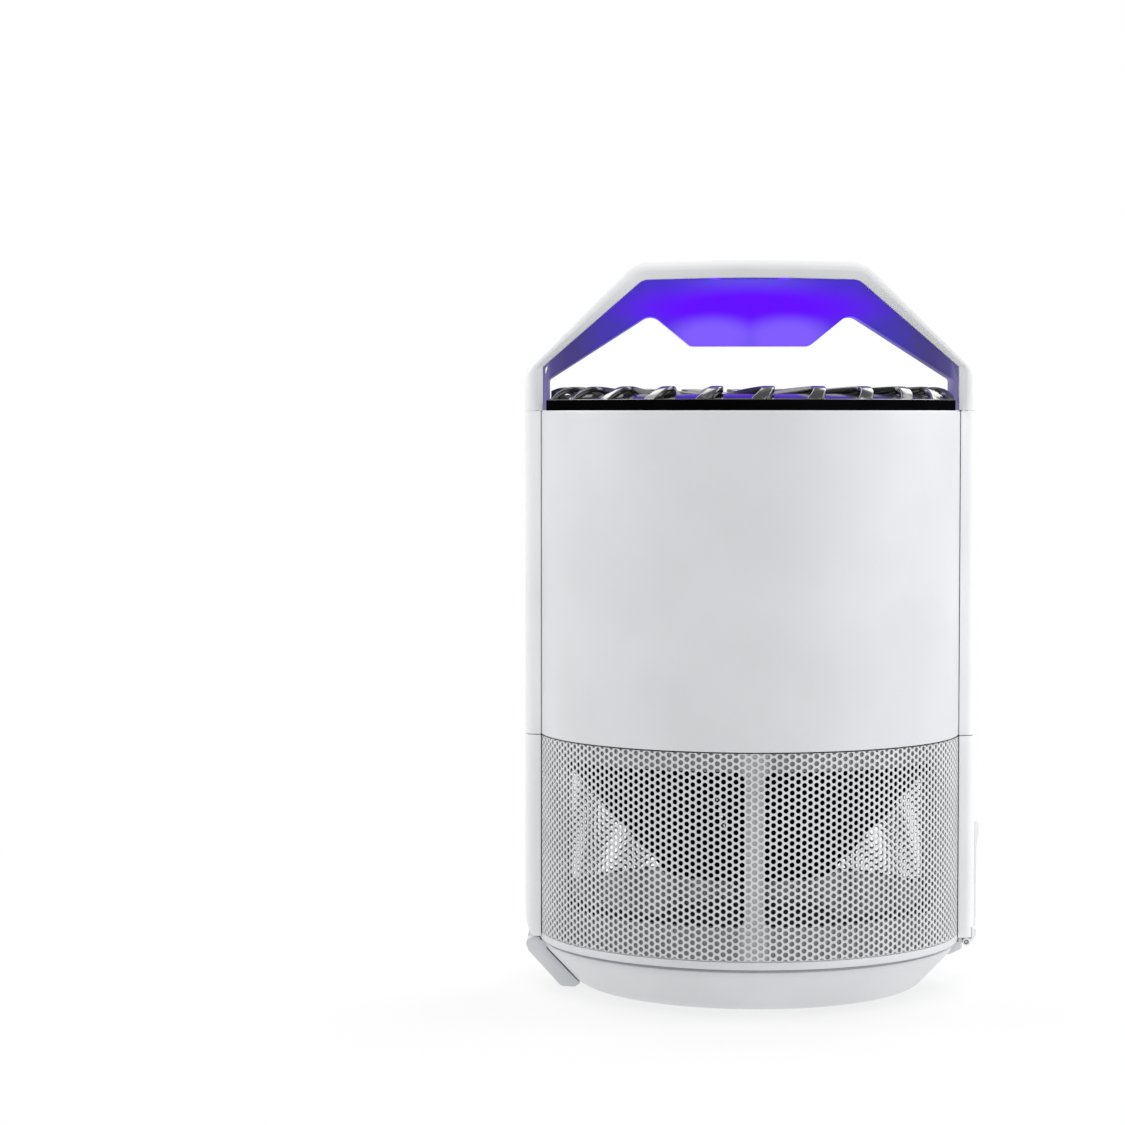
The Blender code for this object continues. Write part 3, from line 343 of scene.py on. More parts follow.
def black_plastic():
    """Black moulding: matt, but polished on the grille's top, above its ring."""
    made, tree, shader, place = blank("black_plastic_look")
    fine = noise(tree, place, 1800.0, 3.0)
    height = node(tree, "SeparateXYZ", {"Vector": place}).outputs["Z"]
    polish = mapped(tree, height, (RING_TOP - 0.0002, RING_TOP), (0.0, 1.0))
    gloss = calc(tree, "SUBTRACT", spanned(tree, fine, 0.12, 0.50), calc(tree, "MULTIPLY", polish, 0.34))
    colour = two_tone(tree, noise(tree, place, 30.0), srgb(5, 5, 6), srgb(10, 10, 12))
    dressed(tree, shader, Base_Color=colour, Roughness=gloss,
            Normal=bump(tree, fine, 0.5, 0.00003), Specular_IOR_Level=polish,
            Coat_Weight=calc(tree, "MULTIPLY", polish, 0.8), Coat_Roughness=0.12)
    return made


def metal(name, colour, roughness):
    """Drawn or turned metal with fine streaks across Z."""
    made, tree, shader, place = blank(name)
    stretched = node(tree, "Mapping", {"Vector": place, "Scale": (40.0, 40.0, 1600.0)}).outputs["Vector"]
    lines = noise(tree, stretched, 1.0, 4.0)
    dressed(tree, shader, Base_Color=two_tone(tree, lines, scaled(colour, 0.86), scaled(colour, 1.06)),
            Roughness=spanned(tree, lines, 0.18, roughness - 0.08), Normal=bump(tree, lines, 0.4, 0.00002),
            Metallic=1.0)
    return made


def glue_card():
    """Dark card under a clear sticky film, with slow ripples in the film."""
    made, tree, shader, place = blank("glue_card_look")
    fibres = noise(tree, place, 900.0, 5.0)
    dressed(tree, shader, Base_Color=two_tone(tree, fibres, srgb(52, 53, 58), srgb(70, 71, 76)),
            Roughness=spanned(tree, fibres, 0.2, 0.45), Coat_Weight=0.8, Coat_Roughness=0.08,
            Coat_Normal=bump(tree, noise(tree, place, 120.0), 0.5, 0.0003))
    return made


def circuit_board():
    """Green lacquered board with paler copper tracks under the lacquer."""
    made, tree, shader, place = blank("circuit_board_look")
    tracks = node(tree, "TexVoronoi", {"Vector": place, "Scale": 260.0}, distance="MANHATTAN",
                  feature="DISTANCE_TO_EDGE").outputs["Distance"]
    colour = ramp(tree, tracks, [(0.04, srgb(70, 120, 60)), (0.10, srgb(18, 66, 34))])
    dressed(tree, shader, Base_Color=colour,
            Roughness=spanned(tree, noise(tree, place, 700.0), 0.2, 0.25),
            Normal=bump(tree, tracks, 0.4, 0.00004, invert=True))
    return made


def glow(name, colour, strength):
    """A glowing lens with a hotter middle and a finely grained skin."""
    made, tree, shader, place = blank(name)
    grain = noise(tree, place, 2500.0)
    facing = node(tree, "LayerWeight", {"Blend": 0.4}).outputs["Facing"]
    dressed(tree, shader, Base_Color=two_tone(tree, grain, scaled(colour, 0.5), scaled(colour, 0.7)),
            Roughness=spanned(tree, grain, 0.2, 0.2), Emission_Strength=strength,
            Emission_Color=ramp(tree, facing, [(0.2, scaled(colour, 1.6)), (0.9, colour)]))
    return made


def spot(tree, across, height, centre, size):
    """How near a point is to the middle of an oval: 1 there, down to 0 at its edge and beyond."""
    u = calc(tree, "DIVIDE", calc(tree, "SUBTRACT", across, centre[0]), size[0])
    v = calc(tree, "DIVIDE", calc(tree, "SUBTRACT", height, centre[1]), size[1])
    far = calc(tree, "SQRT", calc(tree, "ADD", calc(tree, "MULTIPLY", u, u), calc(tree, "MULTIPLY", v, v)))
    return mapped(tree, far, (0.35, 1.0), (1.0, 0.0), smooth=True)


def lit_diffuser():
    """Milky diffuser with a painted glow for the light of the lamps inside it: deep violet along its middle,
    paler lobes below, dim on the legs.
    """
    made, tree, shader, place = blank("lit_diffuser_look")
    split = node(tree, "SeparateXYZ", {"Vector": place})
    across = calc(tree, "ABSOLUTE", split.outputs["X"])
    height = calc(tree, "SUBTRACT", split.outputs["Z"], RIM)
    away = calc(tree, "DIVIDE", across, STRIP_X)
    wash = ramp(tree, away, [
        (0.05, srgb(96, 78, 232)), (0.40, srgb(74, 50, 208)), (0.60, srgb(68, 54, 176)),
        (0.80, srgb(70, 62, 128)), (0.875, srgb(80, 74, 132)), (0.91, srgb(118, 112, 160))])
    core = spot(tree, across, height, (0.0, 0.0385), (0.064, 0.0120))
    colour = mixed(tree, core, wash, srgb(98, 0, 255))
    lobe = spot(tree, across, height, (0.0140, 0.0275), (0.0230, 0.0105))
    colour = mixed(tree, lobe, colour, srgb(128, 92, 255))
    grain = noise(tree, place, 1800.0)
    # The glow's painted light pattern also faintly tints the near-black base colour.
    dressed(tree, shader, Base_Color=mixed(tree, 0.92, colour, srgb(8, 6, 12)),
            Roughness=spanned(tree, grain, 0.15, 0.38), Normal=bump(tree, grain, 0.3, 0.00003),
            Specular_IOR_Level=0.12, Emission_Color=colour, Emission_Strength=0.95)
    return made


def shaded_shell():
    """White plastic of the cage, darker on the seat that the perforated sheets cover: painted shade for the
    shadow in the holes, lighter on the middle rib.
    """
    made, tree, shader, place = blank("cage_painted_shade_look")
    split = node(tree, "SeparateXYZ", {"Vector": place})
    flat = node(tree, "CombineXYZ", {"X": split.outputs["X"], "Y": split.outputs["Y"]})
    radius = node(tree, "VectorMath", {0: flat.outputs[0]}, operation="LENGTH").outputs["Value"]
    seat = mapped(tree, radius, (CAGE_R - 0.0004, CAGE_R - 0.0002), (0.0, 1.0))
    lifted = mapped(tree, split.outputs["Z"], (SCREEN_LOW, SCREEN_LOW + 0.0002), (0.0, 1.0))
    aside = calc(tree, "ABSOLUTE", split.outputs["X"])
    off_rib = mapped(tree, aside, (0.0036, 0.0060), (RIB_SHADE, SEAT_SHADE))
    shade = calc(tree, "MULTIPLY", calc(tree, "MULTIPLY", seat, lifted), off_rib)
    white = two_tone(tree, noise(tree, place, 28.0), srgb(218, 220, 223), srgb(226, 228, 231))
    fine = noise(tree, place, 2200.0, 3.0)
    # The dark colour mixed in on the covered seat is painted shade.
    dressed(tree, shader, Base_Color=mixed(tree, shade, white, srgb(40, 41, 44)),
            Roughness=spanned(tree, fine, 0.12, 0.38), Normal=bump(tree, fine, 0.6, 0.00003))
    return made


def painted_sheet():
    """Powder-coated sheet: light grey with orange-peel bump."""
    made, tree, shader, place = blank("painted_sheet_look")
    peel = noise(tree, place, 1500.0)
    slow = noise(tree, place, 40.0)
    dressed(tree, shader, Base_Color=two_tone(tree, slow, srgb(212, 213, 215), srgb(224, 225, 227)),
            Roughness=spanned(tree, peel, 0.15, 0.35), Normal=bump(tree, peel, 0.5, 0.00005))
    return made


def make_looks():
    """Every look, by the record's material slot, and the cage's own."""
    return {
        "white_shell": plastic("white_shell_look", srgb(222, 224, 227), 0.42),
        "cage_shell": shaded_shell(),
        "strip_shell": plastic("strip_shell_look", srgb(247, 248, 250), 0.38),
        "black_plastic": black_plastic(),
        "grey_plastic": plastic("grey_plastic_look", srgb(150, 150, 156), 0.45, spread=0.04),
        "tray_plastic": plastic("tray_plastic_look", srgb(50, 51, 55), 0.5, spread=0.06),
        "glue_card": glue_card(),
        "painted_screen": painted_sheet(),
        "lit_diffuser": lit_diffuser(),
        "uv_lamp": glow("uv_lamp_look", srgb(90, 20, 255), 1.2),
        "steel": metal("steel_look", srgb(200, 200, 204), 0.32),
        "bronze": metal("bronze_look", srgb(176, 132, 84), 0.42),
        "rubber": plastic("rubber_look", srgb(46, 46, 48), 0.85, grain=0.00006, spread=0.15, specular=0.3),
        "circuit_board": circuit_board(),
        "cable": plastic("cable_look", srgb(198, 198, 202), 0.6, grain=0.00002, spread=0.05),
    }


# ---------------------------------------------------------------- shape helpers

def rounded(corners, steps=6):
    """The points of an outline whose corners are (u, v, radius)."""
    points = []
    for i, (u, v, radius) in enumerate(corners):
        here = Vector((u, v))
        if radius == 0.0:
            points.append(here)
            continue
        before = (Vector(corners[i - 1][:2]) - here).normalized()
        after = (Vector(corners[(i + 1) % len(corners)][:2]) - here).normalized()
        half = before.angle(after) / 2
        centre = here + (before + after).normalized() * radius / math.sin(half)
        first = here + before * radius / math.tan(half) - centre
        last = here + after * radius / math.tan(half) - centre
        points += [centre + first.slerp(last, k / steps).normalized() * radius for k in range(steps + 1)]
    return points


def to_mesh(bm, name="mesh"):
    """A mesh with its faces turned outwards, from a bmesh that is then freed."""
    bmesh.ops.recalc_face_normals(bm, faces=bm.faces)
    mesh = bpy.data.meshes.new(name)
    bm.to_mesh(mesh)
    bm.free()
    return mesh


def bridged(bm, near, far):
    """Faces between two matching closed loops of vertices, down to triangles where points coincide."""
    count = len(near)
    for i in range(count):
        j = (i + 1) % count
        corners = list(dict.fromkeys((near[i], near[j], far[j], far[i])))
        if len(corners) > 2:
            bm.faces.new(corners)


def turned(section, steps=SMOOTH, closed=True):
    """A mesh turned about Z from (radius, height) points, whose section is a loop if closed."""
    bm = bmesh.new()
    rings = []
    for radius, height in section:
        if radius < TINY:
            rings.append([bm.verts.new((0.0, 0.0, height))] * steps)
            continue
        turns = [math.tau * k / steps for k in range(steps)]
        rings.append([bm.verts.new((radius * math.cos(a), radius * math.sin(a), height)) for a in turns])
    pairs = zip(rings, rings[1:] + rings[:1]) if closed else zip(rings, rings[1:])
    for near, far in pairs:
        bridged(bm, near, far)
    return to_mesh(bm)


def lofted(loops):
    """A mesh through matching closed loops of points, with its first and last loop as its ends."""
    bm = bmesh.new()
    rings = [[bm.verts.new(point) for point in loop] for loop in loops]
    for near, far in zip(rings, rings[1:]):
        bridged(bm, near, far)
    bm.faces.new(rings[0])
    bm.faces.new(rings[-1])
    return to_mesh(bm)


def extruded(outline, low, high, soft=0.0):
    """An XZ outline made solid from y = low to high, with its sharp edges rounded by soft."""
    bm = bmesh.new()
    near = [bm.verts.new((x, low, z)) for x, z in outline]
    far = [bm.verts.new((x, high, z)) for x, z in outline]
    bm.faces.new(near)
    bm.faces.new(far)
    bridged(bm, near, far)
    bmesh.ops.recalc_face_normals(bm, faces=bm.faces)
    if soft > 0.0:
        edges = [e for e in bm.edges if e.calc_face_angle(0.0) > math.radians(SHARP_DEG)]
        bmesh.ops.bevel(bm, geom=edges, offset=soft, segments=3, profile=0.5, affect="EDGES",
                        clamp_overlap=True)
    return to_mesh(bm)


def rod(radius, start, end, sides=SMALL):
    """A round bar between two points."""
    start, end = Vector(start), Vector(end)
    bm = bmesh.new()
    bmesh.ops.create_cone(bm, cap_ends=True, segments=sides, radius1=radius, radius2=radius,
                          depth=(end - start).length)
    facing = (end - start).to_track_quat("Z", "Y").to_matrix().to_4x4()
    bmesh.ops.transform(bm, matrix=Matrix.Translation((start + end) / 2) @ facing, verts=bm.verts)
    return to_mesh(bm)


def level_rod(radius, place, low, high, sides=SMALL):
    """A round bar along Y, at a place in X and Z."""
    x, z = place
    return rod(radius, (x, low, z), (x, high, z), sides)


def upright_rod(radius, place, low, high, sides=SMALL):
    """A round bar along Z, at a place in X and Y."""
    return rod(radius, (*place, low), (*place, high), sides)


def block(low, high):
    """A box between two corners."""
    low, high = Vector(low), Vector(high)
    bm = bmesh.new()
    bmesh.ops.create_cube(bm, size=1.0)
    bmesh.ops.scale(bm, vec=high - low, verts=bm.verts)
    bmesh.ops.translate(bm, vec=(low + high) / 2, verts=bm.verts)
    return to_mesh(bm)


def joins(*tools):
    """Steps that join tool meshes to a mesh."""
    return [("UNION", tool) for tool in tools]


def cuts(*tools):
    """Steps that cut tool meshes from a mesh."""
    return [("DIFFERENCE", tool) for tool in tools]


def combined(mesh, tools):
    """The mesh after each (operation, tool mesh) has been cut from it or joined to it."""
    scene = bpy.context.scene.collection
    target = bpy.data.objects.new("work", mesh)
    scene.objects.link(target)
    helpers = []
    for operation, tool in tools:
        helper = bpy.data.objects.new("tool", tool)
        scene.objects.link(helper)
        helpers.append(helper)
        step = target.modifiers.new("step", "BOOLEAN")
        step.operation = operation
        step.solver = "EXACT"
        step.object = helper
    made = evaluated(target)
    for old in [target, *helpers]:
        bpy.data.objects.remove(old)
    return made


def evaluated(target):
    """An object's mesh with its modifiers applied."""
    bpy.context.view_layer.update()
    shown = target.evaluated_get(bpy.context.evaluated_depsgraph_get())
    return bpy.data.meshes.new_from_object(shown)


def reshaped(mesh, *steps):
    """The mesh after each modifier step, given as its kind and settings."""
    target = bpy.data.objects.new("work", mesh)
    bpy.context.scene.collection.objects.link(target)
    for kind, settings in steps:
        step = target.modifiers.new(kind, kind)
        for key, value in settings.items():
            setattr(step, key, value)
    made = evaluated(target)
    bpy.data.objects.remove(target)
    return made


def soft_edges(width):
    """The modifier step that rounds sharp edges."""
    angle = math.radians(SOFT_EDGE_DEG)
    return "BEVEL", {"width": width, "segments": 2, "limit_method": "ANGLE", "angle_limit": angle}


def full(thickness, offset):
    """The modifier step that makes a sheet solid."""
    return "SOLIDIFY", {"thickness": thickness, "offset": offset}


def axis_place(box):
    """The X and Z of the axis of a round thing that lies along Y."""
    low, high = box
    return (low.x + high.x) / 2, (low.z + high.z) / 2


def merged(meshes):
    """One mesh that holds several closed shapes."""
    bm = bmesh.new()
    for mesh in meshes:
        bm.from_mesh(mesh)
    made = bpy.data.meshes.new("merged")
    bm.to_mesh(made)
    bm.free()
    return made


def piece(name, mesh, slot, body, *nodes, look=None):
    """Shows a mesh as a piece in its slot's look or another, riding on a body and standing for CAD nodes."""
    mesh.name = name
    mesh.materials.clear()
    mesh.materials.append(LOOKS[look or slot])
    mesh.shade_smooth()
    mesh.set_sharp_from_angle(angle=math.radians(SHARP_DEG))
    made = bpy.data.objects.new(name, mesh)
    bpy.context.scene.collection.objects.link(made)
    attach(made, body)
    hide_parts(*nodes)
    return made


def on_circle(radius, degrees, z=0.0):
    """A point at an angle from +X about the body's axis."""
    angle = math.radians(degrees)
    return Vector((radius * math.cos(angle), radius * math.sin(angle), z))


# ---------------------------------------------------------------- base

def body_room(rim):
    """The space above the bowl that the body fills."""
    return upright_rod(BODY_R + GAP, (0, 0), rim - 0.0001, 0.04, SMOOTH)


def hinge_lug_tools(rim):
    """The hinge lug, its barrel, the slot for the strip's tongue, and the bore."""
    x, z = place = axis_place(HINGE_PIN)
    half, radius = LUG_HALF, HINGE_R
    outline = rounded([(x, LUG_TOP, 0.0), (LUG_ROOT, LUG_TOP, 0.0), (LUG_ROOT, 0.0150, 0.0),
                       (-0.0640, 0.0019, 0.0), (-0.0660, 0.0006, 0.0), (-0.0712, 0.0008, 0.0030),
                       (x - radius + 0.0001, z - 0.0020, 0.0020)], 6)
    lug = reshaped(combined(extruded(outline, -half, half), cuts(body_room(rim))), soft_edges(0.0003))
    slot, clear = HINGE_SLOT_HALF, radius + 0.0008
    return joins(lug, level_rod(radius, place, 0.0001 - half, half - 0.0001, 32)) + cuts(
        block((x - 0.0060, -slot, z - clear), (x + clear, slot, z + 0.01)),
        level_rod(HINGE_BORE, place, 0.0002 - half, 0.02, 24))


def latch_lug_tools(rim):
    """The latch lug, its ear and barrel, and the bore."""
    x, z = place = axis_place(LATCH_PIN)
    radius = LATCH_R
    face = x - radius - GAP
    outline = [(face, 0.0198), (0.0753, 0.0198), (0.0753, 0.0136), (0.0783, 0.0149), (face, 0.0160)]
    lug = combined(extruded(outline, -LUG_HALF, LUG_HALF), cuts(body_room(rim)))
    ear = [(0.0788, rim - 0.0002), (x, rim - 0.0002), (x, z - radius + 0.0001), (0.0788, 0.0161)]
    reach = EAR_HALF + 0.0001
    return joins(lug, extruded(ear, -EAR_HALF, EAR_HALF), level_rod(radius, place, -reach, reach, 32)) + cuts(
        level_rod(LATCH_BORE, place, -0.02, 0.02, 24))


def make_bowl():
    """Base bowl with the hinge lug on its left and the latch lug and ear on its right."""
    low, rim = BOWL_FLOOR, SEAM_BASE - GAP
    floor = low + 0.0020
    outer = [(BOWL_R, rim, 0.0004), (0.0776, 0.0156, 0.004),
             (0.0648, 0.0020, 0.009), (0.0570, low, 0.0)]
    inner = [(0.0560, floor, 0.0), (0.0622, floor + 0.0012, 0.007),
             (0.0752, 0.0166, 0.003), (0.0762, rim, 0.0)]
    section = [Vector((0.0, low)), *reversed(rounded(outer)), *reversed(rounded(inner)), Vector((0.0, floor))]
    tools = hinge_lug_tools(rim) + latch_lug_tools(rim)
    for k in range(4):
        place = on_circle(FOOT_RING, 45 + 90 * k)[:2]
        tools += cuts(upright_rod(FOOT_SEAT_R, place, -0.001, FOOT_SEAT_TOP))
    mesh = combined(turned(section, closed=False), tools)
    piece("base_bowl_smooth", mesh, "white_shell", "base", "base_bowl")


def make_tray():
    """Catch tray with a rolled rim and a shallow seat, and the round glue board in it."""
    high = TRAY[1].z
    radius = TRAY[1].x
    seat = high - TRAY_DIP
    inner, under = radius - TRAY_WALL, seat - TRAY_FLOOR
    board_r = BOARD[1].x
    rim = rounded([(board_r + 0.0006, seat, 0.0), (board_r + 0.0010, high, 0.0004), (radius, high, 0.0006),
                   (radius, TRAY[0].z, 0.0003), (inner, TRAY[0].z, 0.0), (inner, under, 0.0008)], 3)
    section = [Vector((0.0, seat)), *rim, Vector((0.0, under))]
    piece("catch_tray_smooth", turned(section, MEDIUM, closed=False), "tray_plastic", "base", "catch_tray")
    low, top = BOARD[0].z, BOARD[1].z
    card = [Vector((0.0, top)), Vector((board_r - 0.0002, top)), Vector((board_r, top - 0.0002)),
            Vector((board_r, low + 0.0001)), Vector((board_r - 0.0001, low)), Vector((0.0, low))]
    piece("glue_board_smooth", turned(card, MEDIUM, closed=False), "glue_card", "glue_board", "glue_board")


def make_lever():
    """Latch lever beside the right strip, with its gripping lip, narrow arm and knuckles."""
    x, z = place = axis_place(LATCH_PIN)
    radius = LATCH_R
    top, lip = LEVER[1].z, LEVER[1].x
    half = LEVER[1].y
    face = STRIP_X - LEVER_RECESS + GAP
    outline = rounded([
        (x, z + radius - 0.0001, 0.0), (face, z + radius - 0.0001, 0.0), (face, top, 0.0008),
        (lip, top, 0.0012), (lip, top - 0.0055, 0.0014), (lip - 0.0007, top - 0.0085, 0.0025),
        (lip - 0.0009, 0.0212, 0.0022), (0.0832, 0.0173, 0.0), (x, z - radius + 0.0001, 0.0)], 5)
    arm, foot_top, above = LEVER_ARM_HALF, LEVER_FOOT_TOP, top + 0.0200
    side_view = rounded([
        (-half, 0.0, 0.0), (half, 0.0, 0.0), (half, foot_top, 0.0012), (arm, foot_top, 0.0),
        (arm, above, 0.0), (-arm, above, 0.0), (-arm, foot_top, 0.0), (-half, foot_top, 0.0012)], 4)
    front = extruded(side_view, 0.0780, 0.0900)
    front.transform(Matrix(((0, 1, 0, 0), (1, 0, 0, 0), (0, 0, 1, 0), (0, 0, 0, 1))))
    front.flip_normals()
    gap = EAR_SLOT_HALF
    room = radius + GAP
    tools = [("INTERSECT", front)] + joins(level_rod(radius, place, -half, half, 32)) + cuts(
        block((x - 0.004, -gap, z - 0.006), (x + room, gap, z + 0.006)),
        level_rod(LATCH_BORE, place, -0.02, 0.02, 24))
    shape = combined(extruded(outline, -half - 0.001, half + 0.001), tools)
    piece("latch_lever_smooth", reshaped(shape, soft_edges(0.0003)), "strip_shell", "latch", "latch_lever")


# ---------------------------------------------------------------- cage, screens and funnel

def window_tool(middle_deg, half_deg):
    """A curved block with rounded corners, that cuts one window."""
    radius = BODY_R
    half_wide = math.radians(half_deg) * radius
    loops = []
    steps = 6
    wide = [-1 + WINDOW_SOFT / half_wide * (1 - math.cos(math.pi / 2 * k / steps)) for k in range(steps + 1)]
    dips = [WINDOW_SOFT * (1 - math.sin(math.pi / 2 * k / steps)) for k in range(steps + 1)]
    shares = wide + [k / 8 for k in range(-6, 7)] + [-w for w in reversed(wide)]
    insets = dips + [0.0] * 13 + list(reversed(dips))
    for share, inset in zip(shares, insets):
        angle = middle_deg + share * half_deg
        low, high = WINDOW_LOW + inset, WINDOW_HIGH - inset
        near, far = WINDOW_CUT
        loops.append([on_circle(near, angle, low), on_circle(far, angle, low),
                      on_circle(far, angle, high), on_circle(near, angle, high)])
    return lofted(loops)


def make_cage():
    """Cage behind the sheets: foot ring, four windows and the shelf under the housing."""
    outer, inner = CAGE_R, CAGE_R - SHELL_WALL
    top, low = SCREEN_HIGH, SEAM_BASE
    ledge = SCREEN_LOW - GAP
    section = rounded([(outer, top, 0.0), (outer, ledge, 0.0), (BODY_R, ledge, 0.0006), (BODY_R, low, 0.0006),
                       (inner, low, 0.0), (inner, 0.0915, 0.0), (0.0700, 0.0935, 0.0), (0.0700, top, 0.0)], 4)
    half = (WINDOW_END_DEG - RIB_HALF_DEG) / 2
    middle = (WINDOW_END_DEG + RIB_HALF_DEG) / 2
    windows = [window_tool(angle, half) for angle in (-90 - middle, -90 + middle, 90 - middle, 90 + middle)]
    mesh = combined(turned(section), cuts(*windows))
    piece("cage_frame_smooth", mesh, "white_shell", "upper_unit", "cage_frame", look="cage_shell")


def sheet_cells(bm, found, column, end):
    """Adds one column's cells to a flat sheet in (angle, height), sharing vertices with its neighbours."""
    step = 360 / COLUMNS
    here = column * step
    left = here - step / 2
    right = here + step / 2
    if left < -end + step:
        left = -end
    if right > end - step:
        right = end
    lift = ROW_PITCH / 2 if column % 2 else 0.0
    rows = int((SCREEN_HIGH - SCREEN_LOW) / ROW_PITCH) + 2
    start = (SCREEN_HIGH + SCREEN_LOW) / 2 - ROW_PITCH * (rows // 2)

    def vert(angle, height):
        key = (round(angle, 5), round(height, 7))
        if key not in found:
            found[key] = bm.verts.new((angle, height, 0.0))
        return found[key]

    wide = math.degrees(HOLE_R / BODY_R)
    for row in range(rows + 1):
        z = start + row * ROW_PITCH + lift
        low, high = z - ROW_PITCH / 2, z + ROW_PITCH / 2
        rim = [vert(right, z), vert(right, high), vert(here, high), vert(left, high),
               vert(left, z), vert(left, low), vert(here, low), vert(right, low)]
        hole = []
        for k in range(HOLE_SIDES):
            turn = math.tau * k / HOLE_SIDES
            hole.append(bm.verts.new((here + wide * math.cos(turn), z + HOLE_R * math.sin(turn), 0.0)))
        for quarter in range(4):
            side, corner, cap = rim[2 * quarter], rim[2 * quarter + 1], rim[(2 * quarter + 2) % 8]
            a, b, c, d = (hole[(3 * quarter + k) % HOLE_SIDES] for k in range(4))
            bm.faces.new((side, corner, b, a))
            bm.faces.new((corner, c, b))
            bm.faces.new((corner, cap, d, c))


def make_sheet(name, middle, cad_node):
    """A perforated sheet wrapped on the cage: staggered round holes, cut through at its edges."""
    bm = bmesh.new()
    found = {}
    last = int(SCREEN_END_DEG * COLUMNS / 360)
    for column in range(-last, last + 1):
        sheet_cells(bm, found, column, SCREEN_END_DEG)
    for height, way in ((SCREEN_LOW, -1), (SCREEN_HIGH, 1)):
        everything = bm.verts[:] + bm.edges[:] + bm.faces[:]
        bmesh.ops.bisect_plane(bm, geom=everything, dist=TINY / 10, plane_co=(0, height, 0),
                               plane_no=(0, way, 0), clear_outer=True)
    for vert in bm.verts:
        vert.co = on_circle(BODY_R, middle + vert.co.x, vert.co.y)
    for face in bm.faces:
        face.normal_update()
    mesh = bpy.data.meshes.new(name)
    bm.to_mesh(mesh)
    bm.free()
    outward = mesh.polygons[0].normal.dot(mesh.polygons[0].center) > 0
    solid = reshaped(mesh, full(SHEET_T, -1.0 if outward else 1.0))
    piece(name, solid, "painted_screen", "upper_unit", cad_node)


def make_funnel():
    """Slotted funnel: a cone with a turned-out flange and rounded slots down its slope."""
    (top_r, top_z), (foot_r, foot_z) = FUNNEL_TOP, FUNNEL_FOOT
    wall = FUNNEL_WALL
    section = [(FUNNEL_RIM, top_z + wall), (FUNNEL_RIM, top_z), (top_r, top_z), (foot_r, foot_z),
               (foot_r, foot_z - wall), (foot_r - wall, foot_z - wall), (foot_r - wall, foot_z + 0.0006),
               (top_r - wall * 1.05, top_z + wall)]
    slope = math.atan2(top_z - foot_z, top_r - foot_r)
    middle = Vector(((top_r + foot_r) / 2, 0.0, (top_z + foot_z) / 2))
    u, v = SLOT_HALF
    slot = rounded([(-u, -v, SLOT_BEND), (u, -v, SLOT_BEND), (u, v, SLOT_BEND), (-u, v, SLOT_BEND)], 4)
    bm = bmesh.new()
    for k in range(SLOTS):
        turn = Matrix.Rotation(math.tau * (k + 0.5) / SLOTS, 4, "Z") @ Matrix.Translation(middle)
        shape = turn @ Matrix.Rotation(-slope, 4, "Y")
        near = [bm.verts.new(shape @ Vector((u, v, -0.004))) for u, v in slot]
        far = [bm.verts.new(shape @ Vector((u, v, 0.004))) for u, v in slot]
        bm.faces.new(near)
        bm.faces.new(far)
        bridged(bm, near, far)
    mesh = combined(turned(section, 4 * SLOTS), cuts(to_mesh(bm)))
    piece("funnel_smooth", mesh, "black_plastic", "upper_unit", "funnel")


# ---------------------------------------------------------------- strips, housing and controls

def strip_plan(side, inset, reach):
    """A strip's outline from above: rounded outer corners, and an inner face that follows the body."""
    half = STRIP_HALF - inset
    face = STRIP_X - inset
    outer = rounded([(STRIP_ROOT, -half, 0.0), (face, -half, EDGE_R),
                     (face, half, EDGE_R), (STRIP_ROOT, half, 0.0)])
    outer = [p for p in outer if abs(p.x - STRIP_ROOT) > TINY]
    radius = BODY_R + GAP
    far = math.asin(half / radius)
    steps = 12
    inner = [Vector((radius * math.cos(a), radius * math.sin(a)))
             for a in (far - 2 * far * k / steps for k in range(steps + 1))]
    return [(side * min(p.x, reach), p.y) for p in outer + inner]


def hinge_reach(z):
    """How far out the left strip's face may stand at a height, so that it clears the hinge lug as it tips."""
    share = min(1.0, max(0.0, (TUCK_FROM - z) / (TUCK_FROM - TUCK_TO)))
    return STRIP_X - TUCK * share ** 2


def make_strip(name, side, low, high, cad_node, tucked=False, tools=()):
    """One strip between two heights, with softened ends, a foot tucked in by the hinge, and cuts or joins."""
    edge = SEAM_EDGE
    levels = [(low, edge), (low + edge * 0.4, edge * 0.35), (low + edge, 0.0)]
    if tucked:
        levels += [(low + 0.0010 * k, 0.0) for k in range(1, 14)]
    levels += [(high - edge, 0.0), (high - edge * 0.4, edge * 0.35), (high, edge)]
    loops = []
    for z, inset in levels:
        reach = hinge_reach(z) - inset if tucked else STRIP_X
        loops.append([Vector((x, y, z)) for x, y in strip_plan(side, inset, reach)])
    mesh = lofted(loops)
    if tools:
        mesh = combined(mesh, tools)
    return piece(name, mesh, "strip_shell", "upper_unit", cad_node)


def tongue_tools():
    """The hinge tongue under the left strip, and its bore."""
    x, z = place = axis_place(HINGE_PIN)
    radius, half = HINGE_R, HINGE_TONGUE_HALF
    reach = half + 0.0001
    outline = [(-0.0810, 0.0240), (-0.0832, 0.0240), (x - radius + 0.0001, z),
               (x, z - radius * 0.5), (-0.0806, z)]
    return joins(extruded(outline, -half, half), level_rod(radius, place, -reach, reach, 32)) + cuts(
        level_rod(HINGE_BORE, place, -0.02, 0.02, 24))


def lever_room_tools():
    """The recess that the latch lever lies in, wider at the lever's foot."""
    floor, far = STRIP_X - LEVER_RECESS, STRIP_X + 0.0050
    arm, foot = LEVER_ARM_HALF + GAP, STRIP_HALF + GAP
    return cuts(block((floor, -arm, 0.0150), (far, arm, LEVER[1].z + GAP)),
                block((floor, -foot, 0.0150), (far, foot, LEVER_FOOT_TOP + GAP)))


